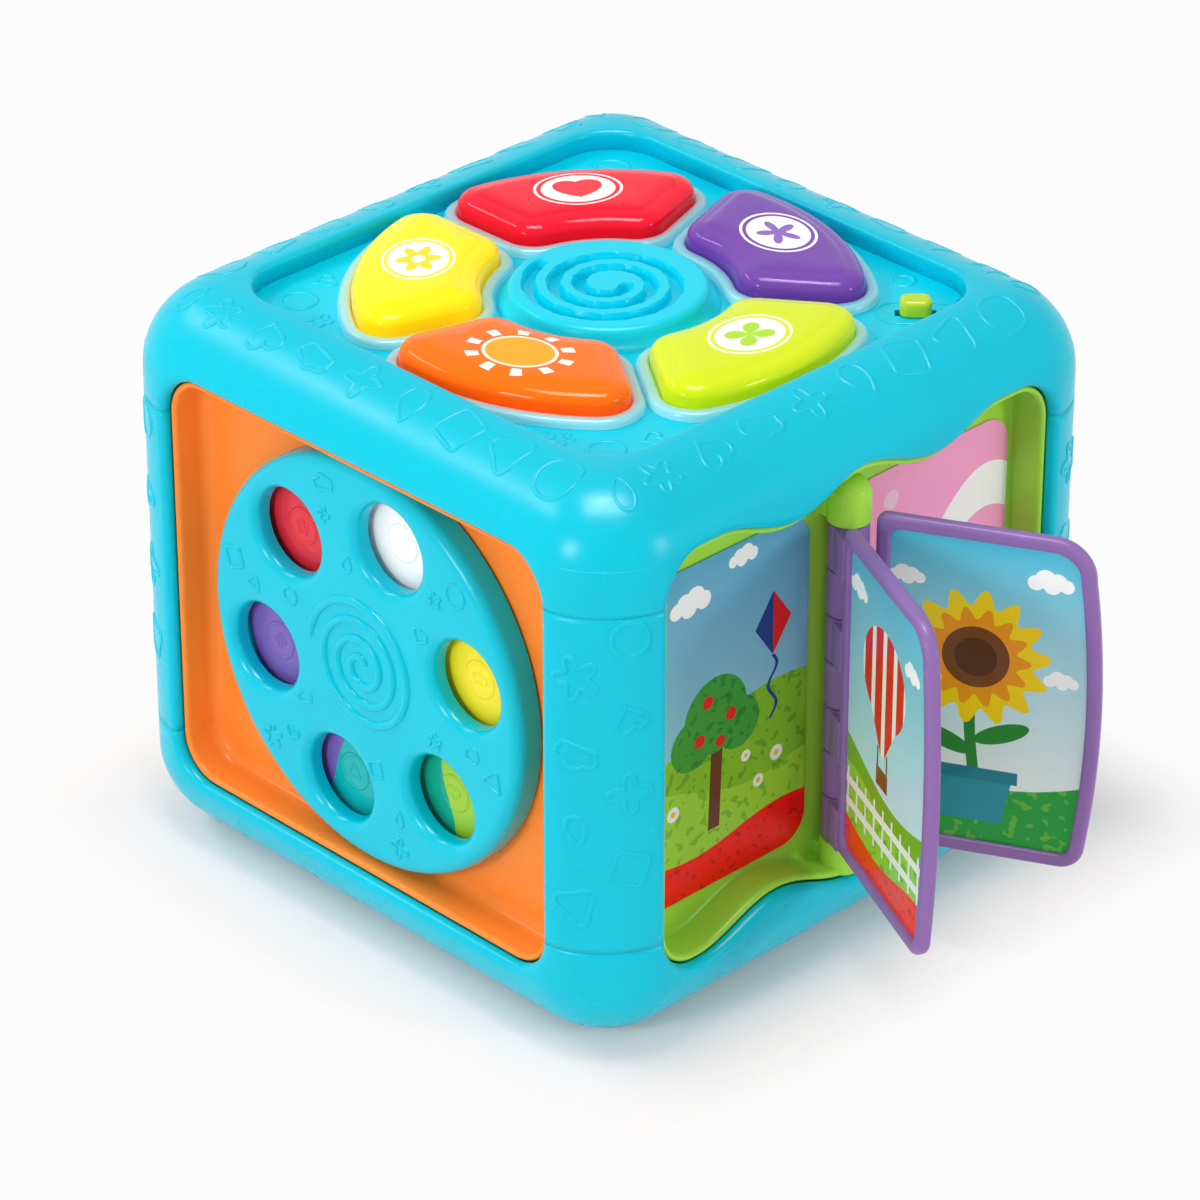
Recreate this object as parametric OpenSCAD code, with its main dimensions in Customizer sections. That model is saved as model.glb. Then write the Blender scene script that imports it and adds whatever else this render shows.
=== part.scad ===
// Activity cube: a moulded casing with a play panel in each side and a keyboard of light-up buttons on top.
// Origin at the centre of the base, +Z up. Dial on -Y, book on +X, gears on +Y, clock on -X.

/* [Casing] */
// Width and depth of the cube
case_w = 200; // [194:1:230]
// Height of the cube
case_h = 172; // [166:1:200]
// Radius of the upright corners seen from above
corner_r = 27; // [26:0.5:30]
// Radius of the rolled top and bottom edges
edge_r = 25; // [20:0.5:25]
// Thickness of the casing walls
wall = 3; // [2.4:0.1:3.4]
// Width of casing left beside each window
post_w = 24.5; // [24:0.5:27]
// Height of the windows' lower edge above the base
window_low = 22.5; // [20:0.5:25]
// Distance from the top down to the windows' upper edge
window_drop = 19.5; // [18:0.5:22]
// Radius of the windows' corners
window_r = 13; // [11:0.5:15]
// Open seam where the posts meet the frames
seam = 0.3; // [0.1:0.1:0.5]

/* [Top] */
// Width of the rolled rim round the top recess
rim_w = 25.5; // [25:0.5:28]
// Depth of the top recess
recess_d = 6; // [5:0.5:7]
// Radius of the recess corners
recess_r = 16; // [14:0.5:18]
// Thickness of the top panel
panel_t = 2.5; // [2:0.1:3]
// Radius of the raised hub's top
hub_r = 28; // [26:0.5:29]
// Flare of the hub's skirt
hub_flare = 3.5; // [2:0.5:4]
// Number of light-up buttons
button_count = 5; // [5:1:5]
// Turn of the first button's middle from +X
button_turn = -71; // [-75:1:-67]
// Distance between neighbouring buttons
button_gap = 8.4; // [8:0.2:10]
// Distance from the buttons to the recess wall
button_margin = 3.1; // [3:0.1:6]
// Radius of the buttons' corners
button_corner = 9; // [8.5:0.5:11]
// Height of the buttons above the recess floor
button_rise = 9.5; // [8.5:0.5:11]
// How far a button travels
button_travel = 3; // [2:0.5:3.5]
// Thickness of the frosted collars
collar_t = 2; // [1.6:0.1:2.1]
// Height of the collars above the recess floor
collar_rise = 2; // [1.5:0.5:3]
// Travel of the power switch to each side
switch_travel = 4; // [3:0.5:4.5]

/* [Trays] */
// Depth of the side trays behind the skin
tray_depth = 14.5; // [14.5:0.5:16]
// Thickness of the tray walls
tray_wall = 2; // [1.6:0.1:2.4]
// Clearance between a tray's lip and its window
tray_fit = 0.3; // [0.2:0.05:0.5]
// Dip of the book window's wavy upper edge
wave_dip = 6.5; // [4:0.5:8]
// Rise of the book window's wavy lower edge
wave_rise = 8; // [5:0.5:9]

/* [Dial] */
// Gap between the dial's rim and the window's edges
dial_margin = 2.7; // [2.5:0.1:5]
// Depth of the dial's face behind the skin
dial_inset = 5; // [4:0.5:5.5]
// Thickness of the dial's plate
dial_plate = 5.5; // [5:0.5:6]
// Thickness of the dial's rim wall
dial_rim = 4.5; // [3.5:0.5:6]
// Radius of the finger holes
finger_r = 13; // [12:0.2:14]
// Width of the dial left between its edge and the mouths of the finger holes
finger_edge = 3.9; // [3.7:0.1:5]
// Rounding of the finger holes' edges
finger_lip = 3; // [2:0.5:3]
// Radius of the dial's stem
stem_r = 6; // [5:0.5:7]

/* [Book] */
// Depth of the hinge axis behind the skin
hinge_inset = 7.3; // [7:0.1:7.4]
// Outer radius of the hinge barrel
barrel_r = 5.8; // [5.4:0.1:6]
// Radius of the hinge pin
pin_r = 1.5; // [1.2:0.1:2]
// Number of hinge knuckles, shared by the two pages
knuckles = 7; // [5:2:9]
// Thickness of the page frames
page_t = 5; // [4:0.2:5.2]
// Width of the page frames' border
page_border = 5; // [4:0.5:7]
// Gap between a page's free edge and the window's side
page_margin = 4; // [3.5:0.5:9]
// Height of the pages' lower edge above the base
page_low = 33.5; // [33.5:0.5:38]
// Distance from the casing's top down to the pages' upper edge
page_drop = 35.5; // [34:0.5:40]
// Radius of the pages' upper outer corners
page_corner = 12; // [8:0.5:14]
// Radius of the pages' lower outer corners
page_corner_low = 7; // [6.5:0.5:14]
// Bow of the pages' free edge
page_bow = 3; // [0:0.5:4]
// Thickness of the printed cards
card_t = 1.2; // [0.8:0.1:1.6]
// Turn of the front page from straight out
front_open = -25; // [-35:1:-20]
// Turn of the rear page from straight out
rear_open = 28; // [20:1:35]

/* [Gears] */
// Tooth size: pitch diameter divided by the number of teeth
tooth_size = 3.5; // [3:0.1:3.6]
// Teeth on the large gear
large_teeth = 18; // [16:1:18]
// Teeth on each of the two small gears
small_teeth = 12; // [11:1:12]
// Thickness of the gears
gear_t = 6; // [5:0.5:6.5]
// Play between meshing teeth
gear_play = 0.6; // [0.5:0.1:0.9]

/* [Clock] */
// Radius of the clock's face
clock_r = 58; // [54:1:60]
// Thickness of the clock's hands
hand_t = 2; // [1.6:0.1:2.2]
// Length of the minute hand
minute_l = 47; // [40:1:50]
// Length of the hour hand
hour_l = 33; // [28:1:38]

/* [Power] */
// Diameter of a battery cell
cell_d = 14.5; // [14.2:0.1:14.8]
// Length of a battery cell
cell_l = 50.5; // [49.5:0.5:51]
// Number of cells side by side
cell_count = 3; // [2:1:4]

/* [Fits] */
// Running clearance of pins and shafts, on the radius
run_fit = 0.05; // [0.02:0.01:0.1]
// Clearance between neighbouring pieces
gap = 0.3; // [0.2:0.05:0.4]

/* [Hidden] */
$fn = 64;
teal = [0.02, 0.75, 0.86];
orange = [0.99, 0.45, 0.05];
yellow = [1.0, 0.89, 0.05];
red = [0.93, 0.09, 0.15];
purple = [0.45, 0.29, 0.64];
lime = [0.68, 0.85, 0.13];
green = [0.45, 0.74, 0.18];
white = [0.95, 0.95, 0.95];
frost = [0.80, 0.95, 0.97];
steel = [0.72, 0.73, 0.75];
board_green = [0.08, 0.38, 0.20];
dark = [0.13, 0.13, 0.14];

// Casing
half_w = case_w / 2;
corner_at = half_w - corner_r;
window_half = half_w - post_w;
window_high = case_h - window_drop;
window_mid = (window_low + window_high) / 2;
seam_low = window_low + window_r;
seam_high = window_high - window_r;
boss_r = 5;
boss_at = half_w - 24;
web_t = 2;
peg_r = 3;
peg_l = 12;
cut = 1;
lap = 1;
case_screw_r = 2;
case_screw_grip = 12;
screw_spare = 2;
screw_head_r = 3.4;
screw_head_h = 2.4;
screw_floor = 6;

// Top
recess_half = half_w - rim_w;
panel_top = case_h - recess_d;
panel_low = panel_top - panel_t;
panel_lap = 3.5;
lip_t = wall;
button_half_angle = 180 / button_count;
button_out = recess_half - button_margin;
button_in = hub_r + hub_flare + collar_t + gap + 2;
button_fit = 0.4;
button_mid = (button_in + button_out) / 2;
button_top = panel_top + button_rise;
button_wall = 2;
flange_w = 2.5;
flange_t = 2;
light_t = 2;
light_low = panel_low - light_t;
light_r = button_out + button_fit + collar_t + gap + 2;
light_bore = hub_r + 3;
flange_top = light_low - 0.2;
plunger_r = 3.5;
plunger_low = flange_top - flange_t - button_travel - 1.4;
dome_h = 4.8;
sheet_t = 1.2;
board_t = 1.6;
board_top = plunger_low - 0.15 - dome_h - sheet_t;
board_low = board_top - board_t;
board_half = recess_half + 0.5;
board_screw_r = 1.2;
board_screw_l = 8;
board_head_r = 2.6;
board_head_h = 1.8;
board_boss_r = 3.5;
board_boss_x = board_half - 23;
board_boss_y = board_half - 5;
speaker_r = 25;
speaker_low = board_low - 2;
speaker_top = light_low - 0.8;
speaker_ring = 2.2;
magnet_r = 13;
magnet_h = 8;
spigot_r = 24;
spigot_wall = 2;
switch_at = [half_w - 36, half_w - 44];
switch_turn = 45;
knob_w = 9;
knob_d = 7;
knob_h = 5;
knob_corner = 2.6;
knob_round = 1.2;
knob_stem = 3;
switch_body = [20, 8, 8];
led_r = 1.5;
led_h = 5;

// Trays
tray_in = tray_fit + tray_wall;
ear_w = 4;
ear_t = 3;
wave_low_pitch = window_half - window_r - 1;
wave_high_pitch = window_half - window_r - 8;
wave_steps = 32;

// Dial
dial_r = (window_high - window_low) / 2 - dial_margin;
dial_front = -dial_inset;
dial_back = gap - tray_depth;
stem_low = -tray_depth - tray_wall - 2.8;
finger_pitch = dial_r - finger_edge - finger_lip - finger_r;
bearing_r = stem_r + 3;
washer_t = 1;
dial_screw_l = 9;
pad_t = 1.6;
pad_gap = 0.4;
pad_in = bearing_r + 1;
pad_out = dial_r - dial_rim - 0.8;
pad_dome_r = finger_r + 1.5;
pad_dome_h = tray_depth - dial_inset - dial_plate - pad_t - 0.6;
pad_colours = [yellow, white, red, purple, teal, green];
finger_turn = 15;
finger_count = 6;

// Book
hinge_x = half_w - hinge_inset;
page_high = case_h - page_drop;
page_reach = window_half - page_margin;
page_inner = barrel_r + 1.4;
page_side = gap;
barrel_low = page_low;
barrel_high = page_high - 2.5;
lug_r = barrel_r + 0.4;
lug_top = window_high - 5;
lug_web = 8;
groove_d = 2;
picture_t = 0.6;
picture_margin = 1;
picture_inner = lug_r + 2;
picture_r = 9;
picture_low = window_low + wave_rise + tray_in + 2;
picture_high = window_high - wave_dip - tray_in;

// Gears
post_r = 3;
gear_low = -tray_depth + 1;
pressure = 25;
addendum = 0.9 * tooth_size;
dedendum = 1.2 * tooth_size;
mesh_large = tooth_size * (large_teeth + small_teeth) / 2;
mesh_small = tooth_size * small_teeth;
large_tip = tooth_size * large_teeth / 2 + addendum;
small_tip = tooth_size * small_teeth / 2 + addendum;
mesh_turn = 60;
mesh_turn_small = -25;
train_w = large_tip + mesh_large * cos(mesh_turn) + mesh_small * cos(mesh_turn_small) + small_tip;
train_h = large_tip + mesh_large * sin(mesh_turn) + small_tip;
large_at = [large_tip - train_w / 2, window_mid + large_tip - train_h / 2];
middle_at = large_at + mesh_large * [cos(mesh_turn), sin(mesh_turn)];
small_at = middle_at + mesh_small * [cos(mesh_turn_small), sin(mesh_turn_small)];
middle_phase = mesh_turn + 180 + 180 / small_teeth;
small_phase = mesh_turn_small + 180 + 180 / small_teeth - (middle_phase - mesh_turn_small);

// Clock
clock_t = 1.5;
clock_post_r = 4;
hour_low = -tray_depth + clock_t + gap;
minute_low = hour_low + hand_t + gap;
minute_turn = 60;
hour_turn = 150;

// Power
cell_gap = 0.5;
contact_l = 4.75;
cavity_l = cell_l + 2 * contact_l;
cavity_w = cell_count * (cell_d + cell_gap) + 2;
cavity_h = cell_d + 2.5;
box_rim = 6;
ledge = 3;
screw_pad = 14;
door_t = wall - 0.2;
door_fit = 0.2;
door_screw_r = 1.4;
door_screw_l = 11;
door_screw_head = 1.4;
door_seat = 1;
contact_w = 10;
contact_tip_r = 3;
contact_plate = 0.5;
contact_clear = 0.1;
lead_r = 0.75;
lead_gap = 6;

// Places the children on a side: x to the right, y up, z out of the skin
module on_side(turn) {
    rotate(turn) translate([0, -half_w, 0]) rotate([90, 0, 0]) children();
}

// Repeats the children at the four upright corners
module at_corners() {
    for (turn = [0:90:270]) rotate(turn) children();
}

// A slab of a flat shape between two heights
module slab(low, high) {
    translate([0, 0, low]) linear_extrude(high - low) children();
}

module ring(outer, inner) {
    difference() {
        circle(outer);
        circle(inner);
    }
}

module rounded_rect(w, h, r) {
    square([w - 2 * r, h], center = true);
    square([w, h - 2 * r], center = true);
    for (x = [-1, 1], y = [-1, 1]) translate([x * (w / 2 - r), y * (h / 2 - r)]) circle(r);
}

// A shouldered screw along +Z with its head below the origin
module screw(head_r, head_h, shank_r, shank_l) {
    translate([0, 0, -head_h]) cylinder(r = head_r, h = head_h);
    cylinder(r = shank_r, h = shank_l);
}

// Half of the casing's upright section, from the middle out to the skin less an inset
module edge_profile(reach, inset) {
    round = edge_r - inset;
    intersection() {
        translate([0, inset]) square([reach, case_h - 2 * inset]);
        union() {
            translate([0, inset]) square([reach - round, case_h - 2 * inset]);
            translate([0, edge_r]) square([reach, case_h - 2 * edge_r]);
            for (z = [edge_r, case_h - edge_r]) translate([reach - round, z]) circle(round);
        }
    }
}

// The casing's whole outer form, drawn in by an inset
module casing_block(inset) {
    at_corners() {
        rotate([90, 0, 0]) linear_extrude(2 * corner_at, center = true) edge_profile(half_w - inset, inset);
        translate([corner_at, corner_at, 0])
            rotate_extrude(angle = 90) edge_profile(corner_r - inset, inset);
    }
}

// A window's outline, grown outwards by an amount
module plain_window(grow) {
    translate([0, window_mid])
        rounded_rect(2 * (window_half + grow), window_high - window_low + 2 * grow, window_r + grow);
}

function arc_points(centre, r, from, to, steps) =
    [for (i = [0:steps]) let (a = from + (to - from) * i / steps) centre + r * [cos(a), sin(a)]];

function wave(x, pitch) = abs(x) < pitch ? (1 - cos(360 * x / pitch)) / 2 : 0;

// The book's window: wavy along the bottom and the top
module wavy_window(grow) {
    side = window_half - window_r;
    low = window_low + window_r;
    high = window_high - window_r;
    r = window_r + grow;
    xs = [for (i = [1:wave_steps - 1]) side * (2 * i / wave_steps - 1)];
    polygon(concat(
        arc_points([-side, low], r, 180, 270, 8),
        [for (x = xs) [x, window_low - grow + wave_rise * wave(x, wave_low_pitch)]],
        arc_points([side, low], r, 270, 360, 8),
        arc_points([side, high], r, 0, 90, 8),
        [for (x = xs) [-x, window_high + grow - wave_dip * wave(x, wave_high_pitch)]],
        arc_points([-side, high], r, 90, 180, 8)));
}

module casing_shell() {
    difference() {
        casing_block(0);
        casing_block(wall);
        for (turn = [0, 180, 270]) on_side(turn) slab(-2 * wall, wall) plain_window(0);
        on_side(90) slab(-2 * wall, wall) wavy_window(0);
    }
}

// Plan of the web that ties a corner boss to the skin
module corner_web() {
    intersection() {
        rotate(45) translate([boss_at * sqrt(2), -web_t / 2]) square([corner_r * 2, web_t]);
        rounded_rect(case_w - wall, case_w - wall, corner_r - wall / 2);
    }
}

module top_frame() {
    color(teal) {
        difference() {
            intersection() {
                casing_shell();
                slab(seam_high + seam / 2, case_h + cut) square(case_w, center = true);
            }
            slab(panel_top, case_h + cut) rounded_rect(2 * recess_half, 2 * recess_half, recess_r);
        }
        slab(panel_top, case_h - wall / 2) difference() {
            rounded_rect(2 * (recess_half + lip_t), 2 * (recess_half + lip_t), recess_r + lip_t);
            rounded_rect(2 * recess_half, 2 * recess_half, recess_r);
        }
        at_corners() {
            slab(seam_high + seam / 2, case_h - edge_r) corner_web();
            translate([boss_at, boss_at, 0]) {
                slab(seam_high + seam / 2, case_h - wall / 2) circle(boss_r);
                slab(seam_high - peg_l, seam_high + wall) circle(peg_r);
            }
        }
    }
}

module bottom_frame() {
    color(teal) difference() {
        union() {
            intersection() {
                casing_shell();
                slab(-cut, seam_low - seam / 2) square(case_w, center = true);
            }
            at_corners() {
                slab(edge_r, seam_low - seam / 2) corner_web();
                translate([boss_at, boss_at, 0]) slab(wall / 2, seam_low - seam / 2) circle(boss_r);
            }
        }
        at_corners() translate([boss_at, boss_at, 0]) {
            slab(-cut, seam_low - screw_floor) circle(screw_head_r + gap);
            slab(-cut, seam_low + cut) circle(case_screw_r + gap);
        }
        slab(-cut, wall + cut) door_opening(0);
    }
}

module corner_post() {
    color(teal) difference() {
        slab(seam_low + seam / 2, seam_high - seam / 2) {
            intersection() {
                difference() {
                    rounded_rect(case_w, case_w, corner_r);
                    rounded_rect(case_w - 2 * wall, case_w - 2 * wall, corner_r - wall);
                }
                translate([window_half, window_half]) square(post_w + cut);
            }
            corner_web();
            translate([boss_at, boss_at]) circle(boss_r);
        }
        translate([boss_at, boss_at, 0]) {
            slab(seam_low - cut, seam_low + case_screw_grip + screw_spare) circle(case_screw_r + run_fit);
            slab(seam_high - peg_l - cut, seam_high + cut) circle(peg_r + run_fit);
        }
    }
}

module post_front() {
    rotate(270) corner_post();
}

module post_right() {
    corner_post();
}

module post_back() {
    rotate(90) corner_post();
}

module post_left() {
    rotate(180) corner_post();
}

module case_screws() {
    color(steel) at_corners() translate([boss_at, boss_at, seam_low - screw_floor])
        screw(screw_head_r, screw_head_h, case_screw_r, screw_floor + case_screw_grip);
}

// One rounded corner of a button's outline: each entry is a centre, a direction and a radius
function edge_corner(centre, from, to, steps) =
    [for (i = [0:steps]) [centre, from + (to - from) * i / steps, button_corner]];

// Outline of a button with its middle on +X, as centres, directions and radii
function button_edge() =
    let (side = button_half_angle, off = button_gap / 2 + button_corner,
         far = button_out - button_corner, near = button_in + button_corner,
         a = side - asin(off / far), b = side - asin(off / near),
         corner_steps = 5, outer_steps = 8, inner_steps = 4)
    concat(
        edge_corner(far * [cos(a), -sin(a)], -side - 90, -a, corner_steps),
        [for (i = [1:outer_steps - 1]) [[0, 0], -a + 2 * a * i / outer_steps, button_out]],
        edge_corner(far * [cos(a), sin(a)], a, side + 90, corner_steps),
        edge_corner(near * [cos(b), sin(b)], side + 90, 180 + b, corner_steps),
        [for (i = [1:inner_steps - 1]) [[0, 0], 180 + b - 2 * b * i / inner_steps, -button_in]],
        edge_corner(near * [cos(b), -sin(b)], 180 - b, 270 - side, corner_steps));

// The same outline grown outwards, as plain points
function button_outline(grow) = [for (e = button_edge()) e[0] + (e[2] + grow) * [cos(e[1]), sin(e[1])]];

// A solid skinned over button outlines, each given as [growth, height]
module button_loft(rings) {
    count = len(button_edge());
    points = [for (r = rings) for (p = button_outline(r[0])) [p[0], p[1], r[1]]];
    last = (len(rings) - 1) * count;
    sides = [for (k = [0:len(rings) - 2]) for (i = [0:count - 1])
        let (j = (i + 1) % count, low = k * count, up = low + count)
        each [[low + i, up + i, up + j], [low + i, up + j, low + j]]];
    polyhedron(points, concat([[for (i = [0:count - 1]) i]], sides, [[for (i = [count - 1:-1:0]) last + i]]));
}

module button_at(index) {
    rotate(button_turn + index * 360 / button_count) children();
}

module button(index) {
    skirt = flange_top - flange_t;
    shoulder = button_top - 4.8;
    button_at(index) difference() {
        union() {
            button_loft([[0, skirt], [0, shoulder], [-0.5, shoulder + 1.6], [-1.8, shoulder + 2.9],
                [-4.6, shoulder + 4], [-5.4, button_top - 0.3], [-6.4, button_top]]);
            slab(skirt, flange_top) polygon(button_outline(flange_w));
        }
        difference() {
            button_loft([[-button_wall, skirt - 1], [-button_wall, shoulder - 1], [-5, shoulder + 1.5]]);
            translate([button_mid, 0, 0]) slab(skirt - cut, button_top) circle(plunger_r, $fn = 24);
        }
    }
    button_at(index) translate([button_mid, 0, 0]) slab(plunger_low, skirt + lap) circle(plunger_r, $fn = 24);
}

module button_orange() {
    color(orange) button(0);
}

module button_lime() {
    color(lime) button(1);
}

module button_purple() {
    color(purple) button(2);
}

module button_red() {
    color(red) button(3);
}

module button_yellow() {
    color(yellow) button(4);
}

// One clear moulding under the panel, with a collar round every button
module light_collars() {
    outer = button_fit + collar_t;
    color(frost) difference() {
        union() {
            slab(light_low, panel_low) ring(light_r, light_bore);
            for (i = [0:button_count - 1]) button_at(i)
                slab(light_low, panel_top + collar_rise) polygon(button_outline(outer));
        }
        for (i = [0:button_count - 1]) button_at(i)
            slab(light_low - cut, panel_top + collar_rise + cut) polygon(button_outline(button_fit));
    }
}

module at_board_bosses() {
    for (x = [-1, 1], y = [-1, 1]) translate([x * board_boss_x, y * board_boss_y]) children();
}

module at_switch() {
    translate([switch_at[0], switch_at[1], 0]) rotate(switch_turn) children();
}

module top_panel() {
    half = recess_half + panel_lap;
    opening = button_fit + collar_t + gap;
    color(teal) difference() {
        union() {
            slab(panel_low, panel_top) rounded_rect(2 * half, 2 * half, recess_r + panel_lap);
            slab(board_top, panel_low + lap) at_board_bosses() circle(board_boss_r);
            slab(speaker_top - 3, panel_low + lap) ring(speaker_r + gap + speaker_ring, speaker_r + gap);
        }
        for (i = [0:button_count - 1]) button_at(i)
            slab(panel_low - cut, panel_top + cut) polygon(button_outline(opening));
        slab(panel_low - cut, panel_top + cut) circle(spigot_r + run_fit);
        slab(board_top - cut, board_top + board_screw_l + 1)
            at_board_bosses() circle(board_screw_r + run_fit);
        at_switch() slab(panel_low - cut, panel_top + cut)
            square([knob_stem + 2 * (switch_travel + gap), knob_stem + 2 * gap], center = true);
    }
}

// Raised hub over the speaker, with a winding groove in its top
module hub_cap() {
    top = case_h;
    thick = 5;
    groove_w = 3;
    groove_depth = 3;
    outer = hub_r - 7;
    middle = outer - 7;
    inner = middle - 7;
    arcs = [[outer, 196, 290], [middle, -124, 250], [inner, 236, 184]];
    steps = [[middle, outer, 126], [inner, middle, 236]];
    bore = spigot_r - spigot_wall;
    color(teal) difference() {
        rotate_extrude() polygon([[0, top - thick], [bore, top - thick], [bore, light_low],
            [spigot_r, light_low], [spigot_r, panel_top], [hub_r + hub_flare, panel_top],
            [hub_r + 0.6, panel_top + 3], [hub_r, top - 1.5], [hub_r - 1.5, top], [0, top]]);
        for (g = arcs) rotate(g[1]) rotate_extrude(angle = g[2])
            translate([g[0], top - groove_depth]) square([groove_w, groove_depth + cut]);
        for (g = steps) rotate(g[2]) translate([g[0], -groove_w / 2, top - groove_depth])
            cube([g[1] + groove_w - g[0], groove_w, groove_depth + cut]);
    }
}

// Rubber sheet with a dome under each plunger
module keypad() {
    color(white) difference() {
        union() {
            slab(board_top, board_top + sheet_t) ring(button_mid + 10, button_mid - 10);
            for (i = [0:button_count - 1]) button_at(i) translate([button_mid, 0, board_top + sheet_t / 2])
                cylinder(r1 = 7, r2 = plunger_r + 1, h = dome_h + sheet_t / 2);
        }
        at_leds() slab(board_top - cut, board_top + sheet_t + cut) circle(led_r + 0.5);
    }
}

module at_leds() {
    for (i = [0:button_count - 1]) button_at(i + 0.5) translate([button_mid, 0, 0]) children();
}

module leds() {
    color(white) at_leds() {
        slab(board_top, board_top + led_h) circle(led_r);
        translate([0, 0, board_top + led_h]) sphere(led_r);
    }
}

module switch_knob() {
    color(lime) at_switch() {
        slab(panel_top + gap, panel_top + knob_h - knob_round)
            rounded_rect(knob_w, knob_d, knob_corner);
        slab(panel_top + gap, panel_top + knob_h)
            rounded_rect(knob_w - 2 * knob_round, knob_d - 2 * knob_round, knob_corner - knob_round);
        slab(board_top + switch_body[2] - 2.5, panel_top + lap) square(knob_stem, center = true);
    }
}

module power_switch() {
    color(steel) at_switch() difference() {
        slab(board_top, board_top + switch_body[2]) square([switch_body[0], switch_body[1]], center = true);
        slab(board_top + switch_body[2] - 3, board_top + switch_body[2] + cut)
            square([knob_stem + 2 * (switch_travel + gap), knob_stem + 2 * gap], center = true);
    }
}

module circuit_board() {
    color(board_green) slab(board_low, board_top) difference() {
        rounded_rect(2 * board_half, 2 * board_half, recess_r + 4);
        circle(speaker_r + 3);
        at_board_bosses() circle(board_screw_r + gap);
    }
}

module board_screws() {
    color(steel) at_board_bosses() translate([0, 0, board_low])
        screw(board_head_r, board_head_h, board_screw_r, board_screw_l);
}

module speaker() {
    color(dark) rotate_extrude() polygon([[0, speaker_low], [magnet_r + 1, speaker_low],
        [speaker_r - 4, speaker_top - 3], [speaker_r, speaker_top - 3], [speaker_r, speaker_top],
        [speaker_r - 3, speaker_top], [speaker_r - 5, speaker_top - 1],
        [magnet_r - 5, speaker_low + 4], [0, speaker_low + 5]]);
}

module speaker_magnet() {
    color(steel) slab(speaker_low - magnet_h, speaker_low) circle(magnet_r);
}

// Ears behind the posts hold each tray against the casing wall, whose inner curve they follow
module tray_ears() {
    inner = window_half - tray_in;
    intersection() {
        slab(-wall - ear_t, -wall) for (x = [-1, 1])
            translate([x * (inner + window_half + ear_w) / 2, window_mid])
            square([window_half + ear_w - inner, seam_high - seam_low - 2 * gap], center = true);
        rotate([-90, 0, 0]) translate([0, half_w, 0]) slab(seam_low, seam_high)
            rounded_rect(case_w - 2 * wall, case_w - 2 * wall, corner_r - wall);
    }
}

module plain_tray() {
    difference() {
        union() {
            slab(-tray_depth - tray_wall, -wall) plain_window(-tray_fit);
            tray_ears();
        }
        slab(-tray_depth, cut) plain_window(-tray_in);
    }
}

module at_window_middle() {
    translate([0, window_mid, 0]) children();
}

module dial_tray() {
    color(orange) on_side(0) difference() {
        union() {
            plain_tray();
            at_window_middle() slab(stem_low + gap, -tray_depth) circle(bearing_r);
        }
        at_window_middle() slab(stem_low - cut, cut) circle(stem_r + run_fit);
    }
}

module dial_profile() {
    round = 3;
    translate([0, dial_front - dial_plate]) square([dial_r - round, dial_plate]);
    translate([dial_r - dial_rim, dial_back]) square([dial_rim, dial_front - round - dial_back]);
    translate([dial_r - round, dial_front - round]) circle(round);
    translate([0, stem_low]) square([stem_r, dial_front - stem_low]);
}

// Cutter for a finger hole with a rounded mouth
module finger_cutter() {
    rotate_extrude() {
        translate([0, dial_back - 1]) square([finger_r, dial_front - dial_back + 2]);
        difference() {
            translate([0, dial_front - finger_lip]) square([finger_r + finger_lip, finger_lip + 1]);
            translate([finger_r + finger_lip, dial_front - finger_lip]) circle(finger_lip);
        }
    }
}

module at_fingers(index) {
    rotate(finger_turn + index * 360 / finger_count) translate([finger_pitch, 0, 0]) children();
}

module dial() {
    color(teal) on_side(0) at_window_middle() difference() {
        rotate_extrude() dial_profile();
        for (i = [0:finger_count - 1]) at_fingers(i) finger_cutter();
        slab(stem_low - cut, dial_front - 2) circle(door_screw_r + run_fit);
    }
}

// Coloured pad that shows through the finger holes
module pad(index) {
    sector = 360 / finger_count;
    low = -tray_depth;
    ball = (pow(pad_dome_r, 2) + pow(pad_dome_h, 2)) / (2 * pad_dome_h);
    color(pad_colours[index]) on_side(0) at_window_middle() {
        rotate(finger_turn + (index - 0.5) * sector) rotate_extrude(angle = sector - pad_gap)
            translate([pad_in, low]) square([pad_out - pad_in, pad_t]);
        at_fingers(index) intersection() {
            translate([0, 0, low + pad_t + pad_dome_h - ball]) sphere(ball);
            slab(low + pad_t - 0.2, low + pad_t + pad_dome_h + cut) circle(pad_dome_r);
        }
    }
}

module dial_washer() {
    color(steel) on_side(0) at_window_middle()
        slab(stem_low - washer_t, stem_low) ring(bearing_r - 0.5, door_screw_r + run_fit);
}

module dial_screw() {
    color(steel) on_side(0) at_window_middle() translate([0, 0, stem_low - washer_t])
        screw(screw_head_r, screw_head_h, door_screw_r, dial_screw_l);
}

// Lug that carries one end of the hinge pin, from the tray's floor out past the axis
module hinge_lug(low, high, domed) {
    translate([hinge_x, 0, low]) {
        cylinder(r = lug_r, h = high - low - (domed ? lug_r / 2 : 0));
        if (domed) translate([0, 0, high - low - lug_r / 2]) intersection() {
            sphere(lug_r);
            slab(-1, lug_r / 2) circle(lug_r);
        }
    }
    root = half_w - tray_depth - tray_wall / 2;
    translate([root, -lug_web / 2, low]) cube([hinge_x - root, lug_web, high - low - lug_r / 2]);
}

module book_tray() {
    color(lime) difference() {
        union() {
            on_side(90) difference() {
                union() {
                    slab(-tray_depth - tray_wall, -wall) wavy_window(-tray_fit);
                    tray_ears();
                }
                slab(-tray_depth, cut) wavy_window(-tray_in);
            }
            hinge_lug(barrel_high + gap, lug_top, true);
            hinge_lug(window_low + tray_fit + tray_wall / 2, barrel_low - gap, false);
        }
        translate([hinge_x, 0, 0]) slab(barrel_low - 7, barrel_high + 9) circle(pin_r + run_fit);
    }
}

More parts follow.
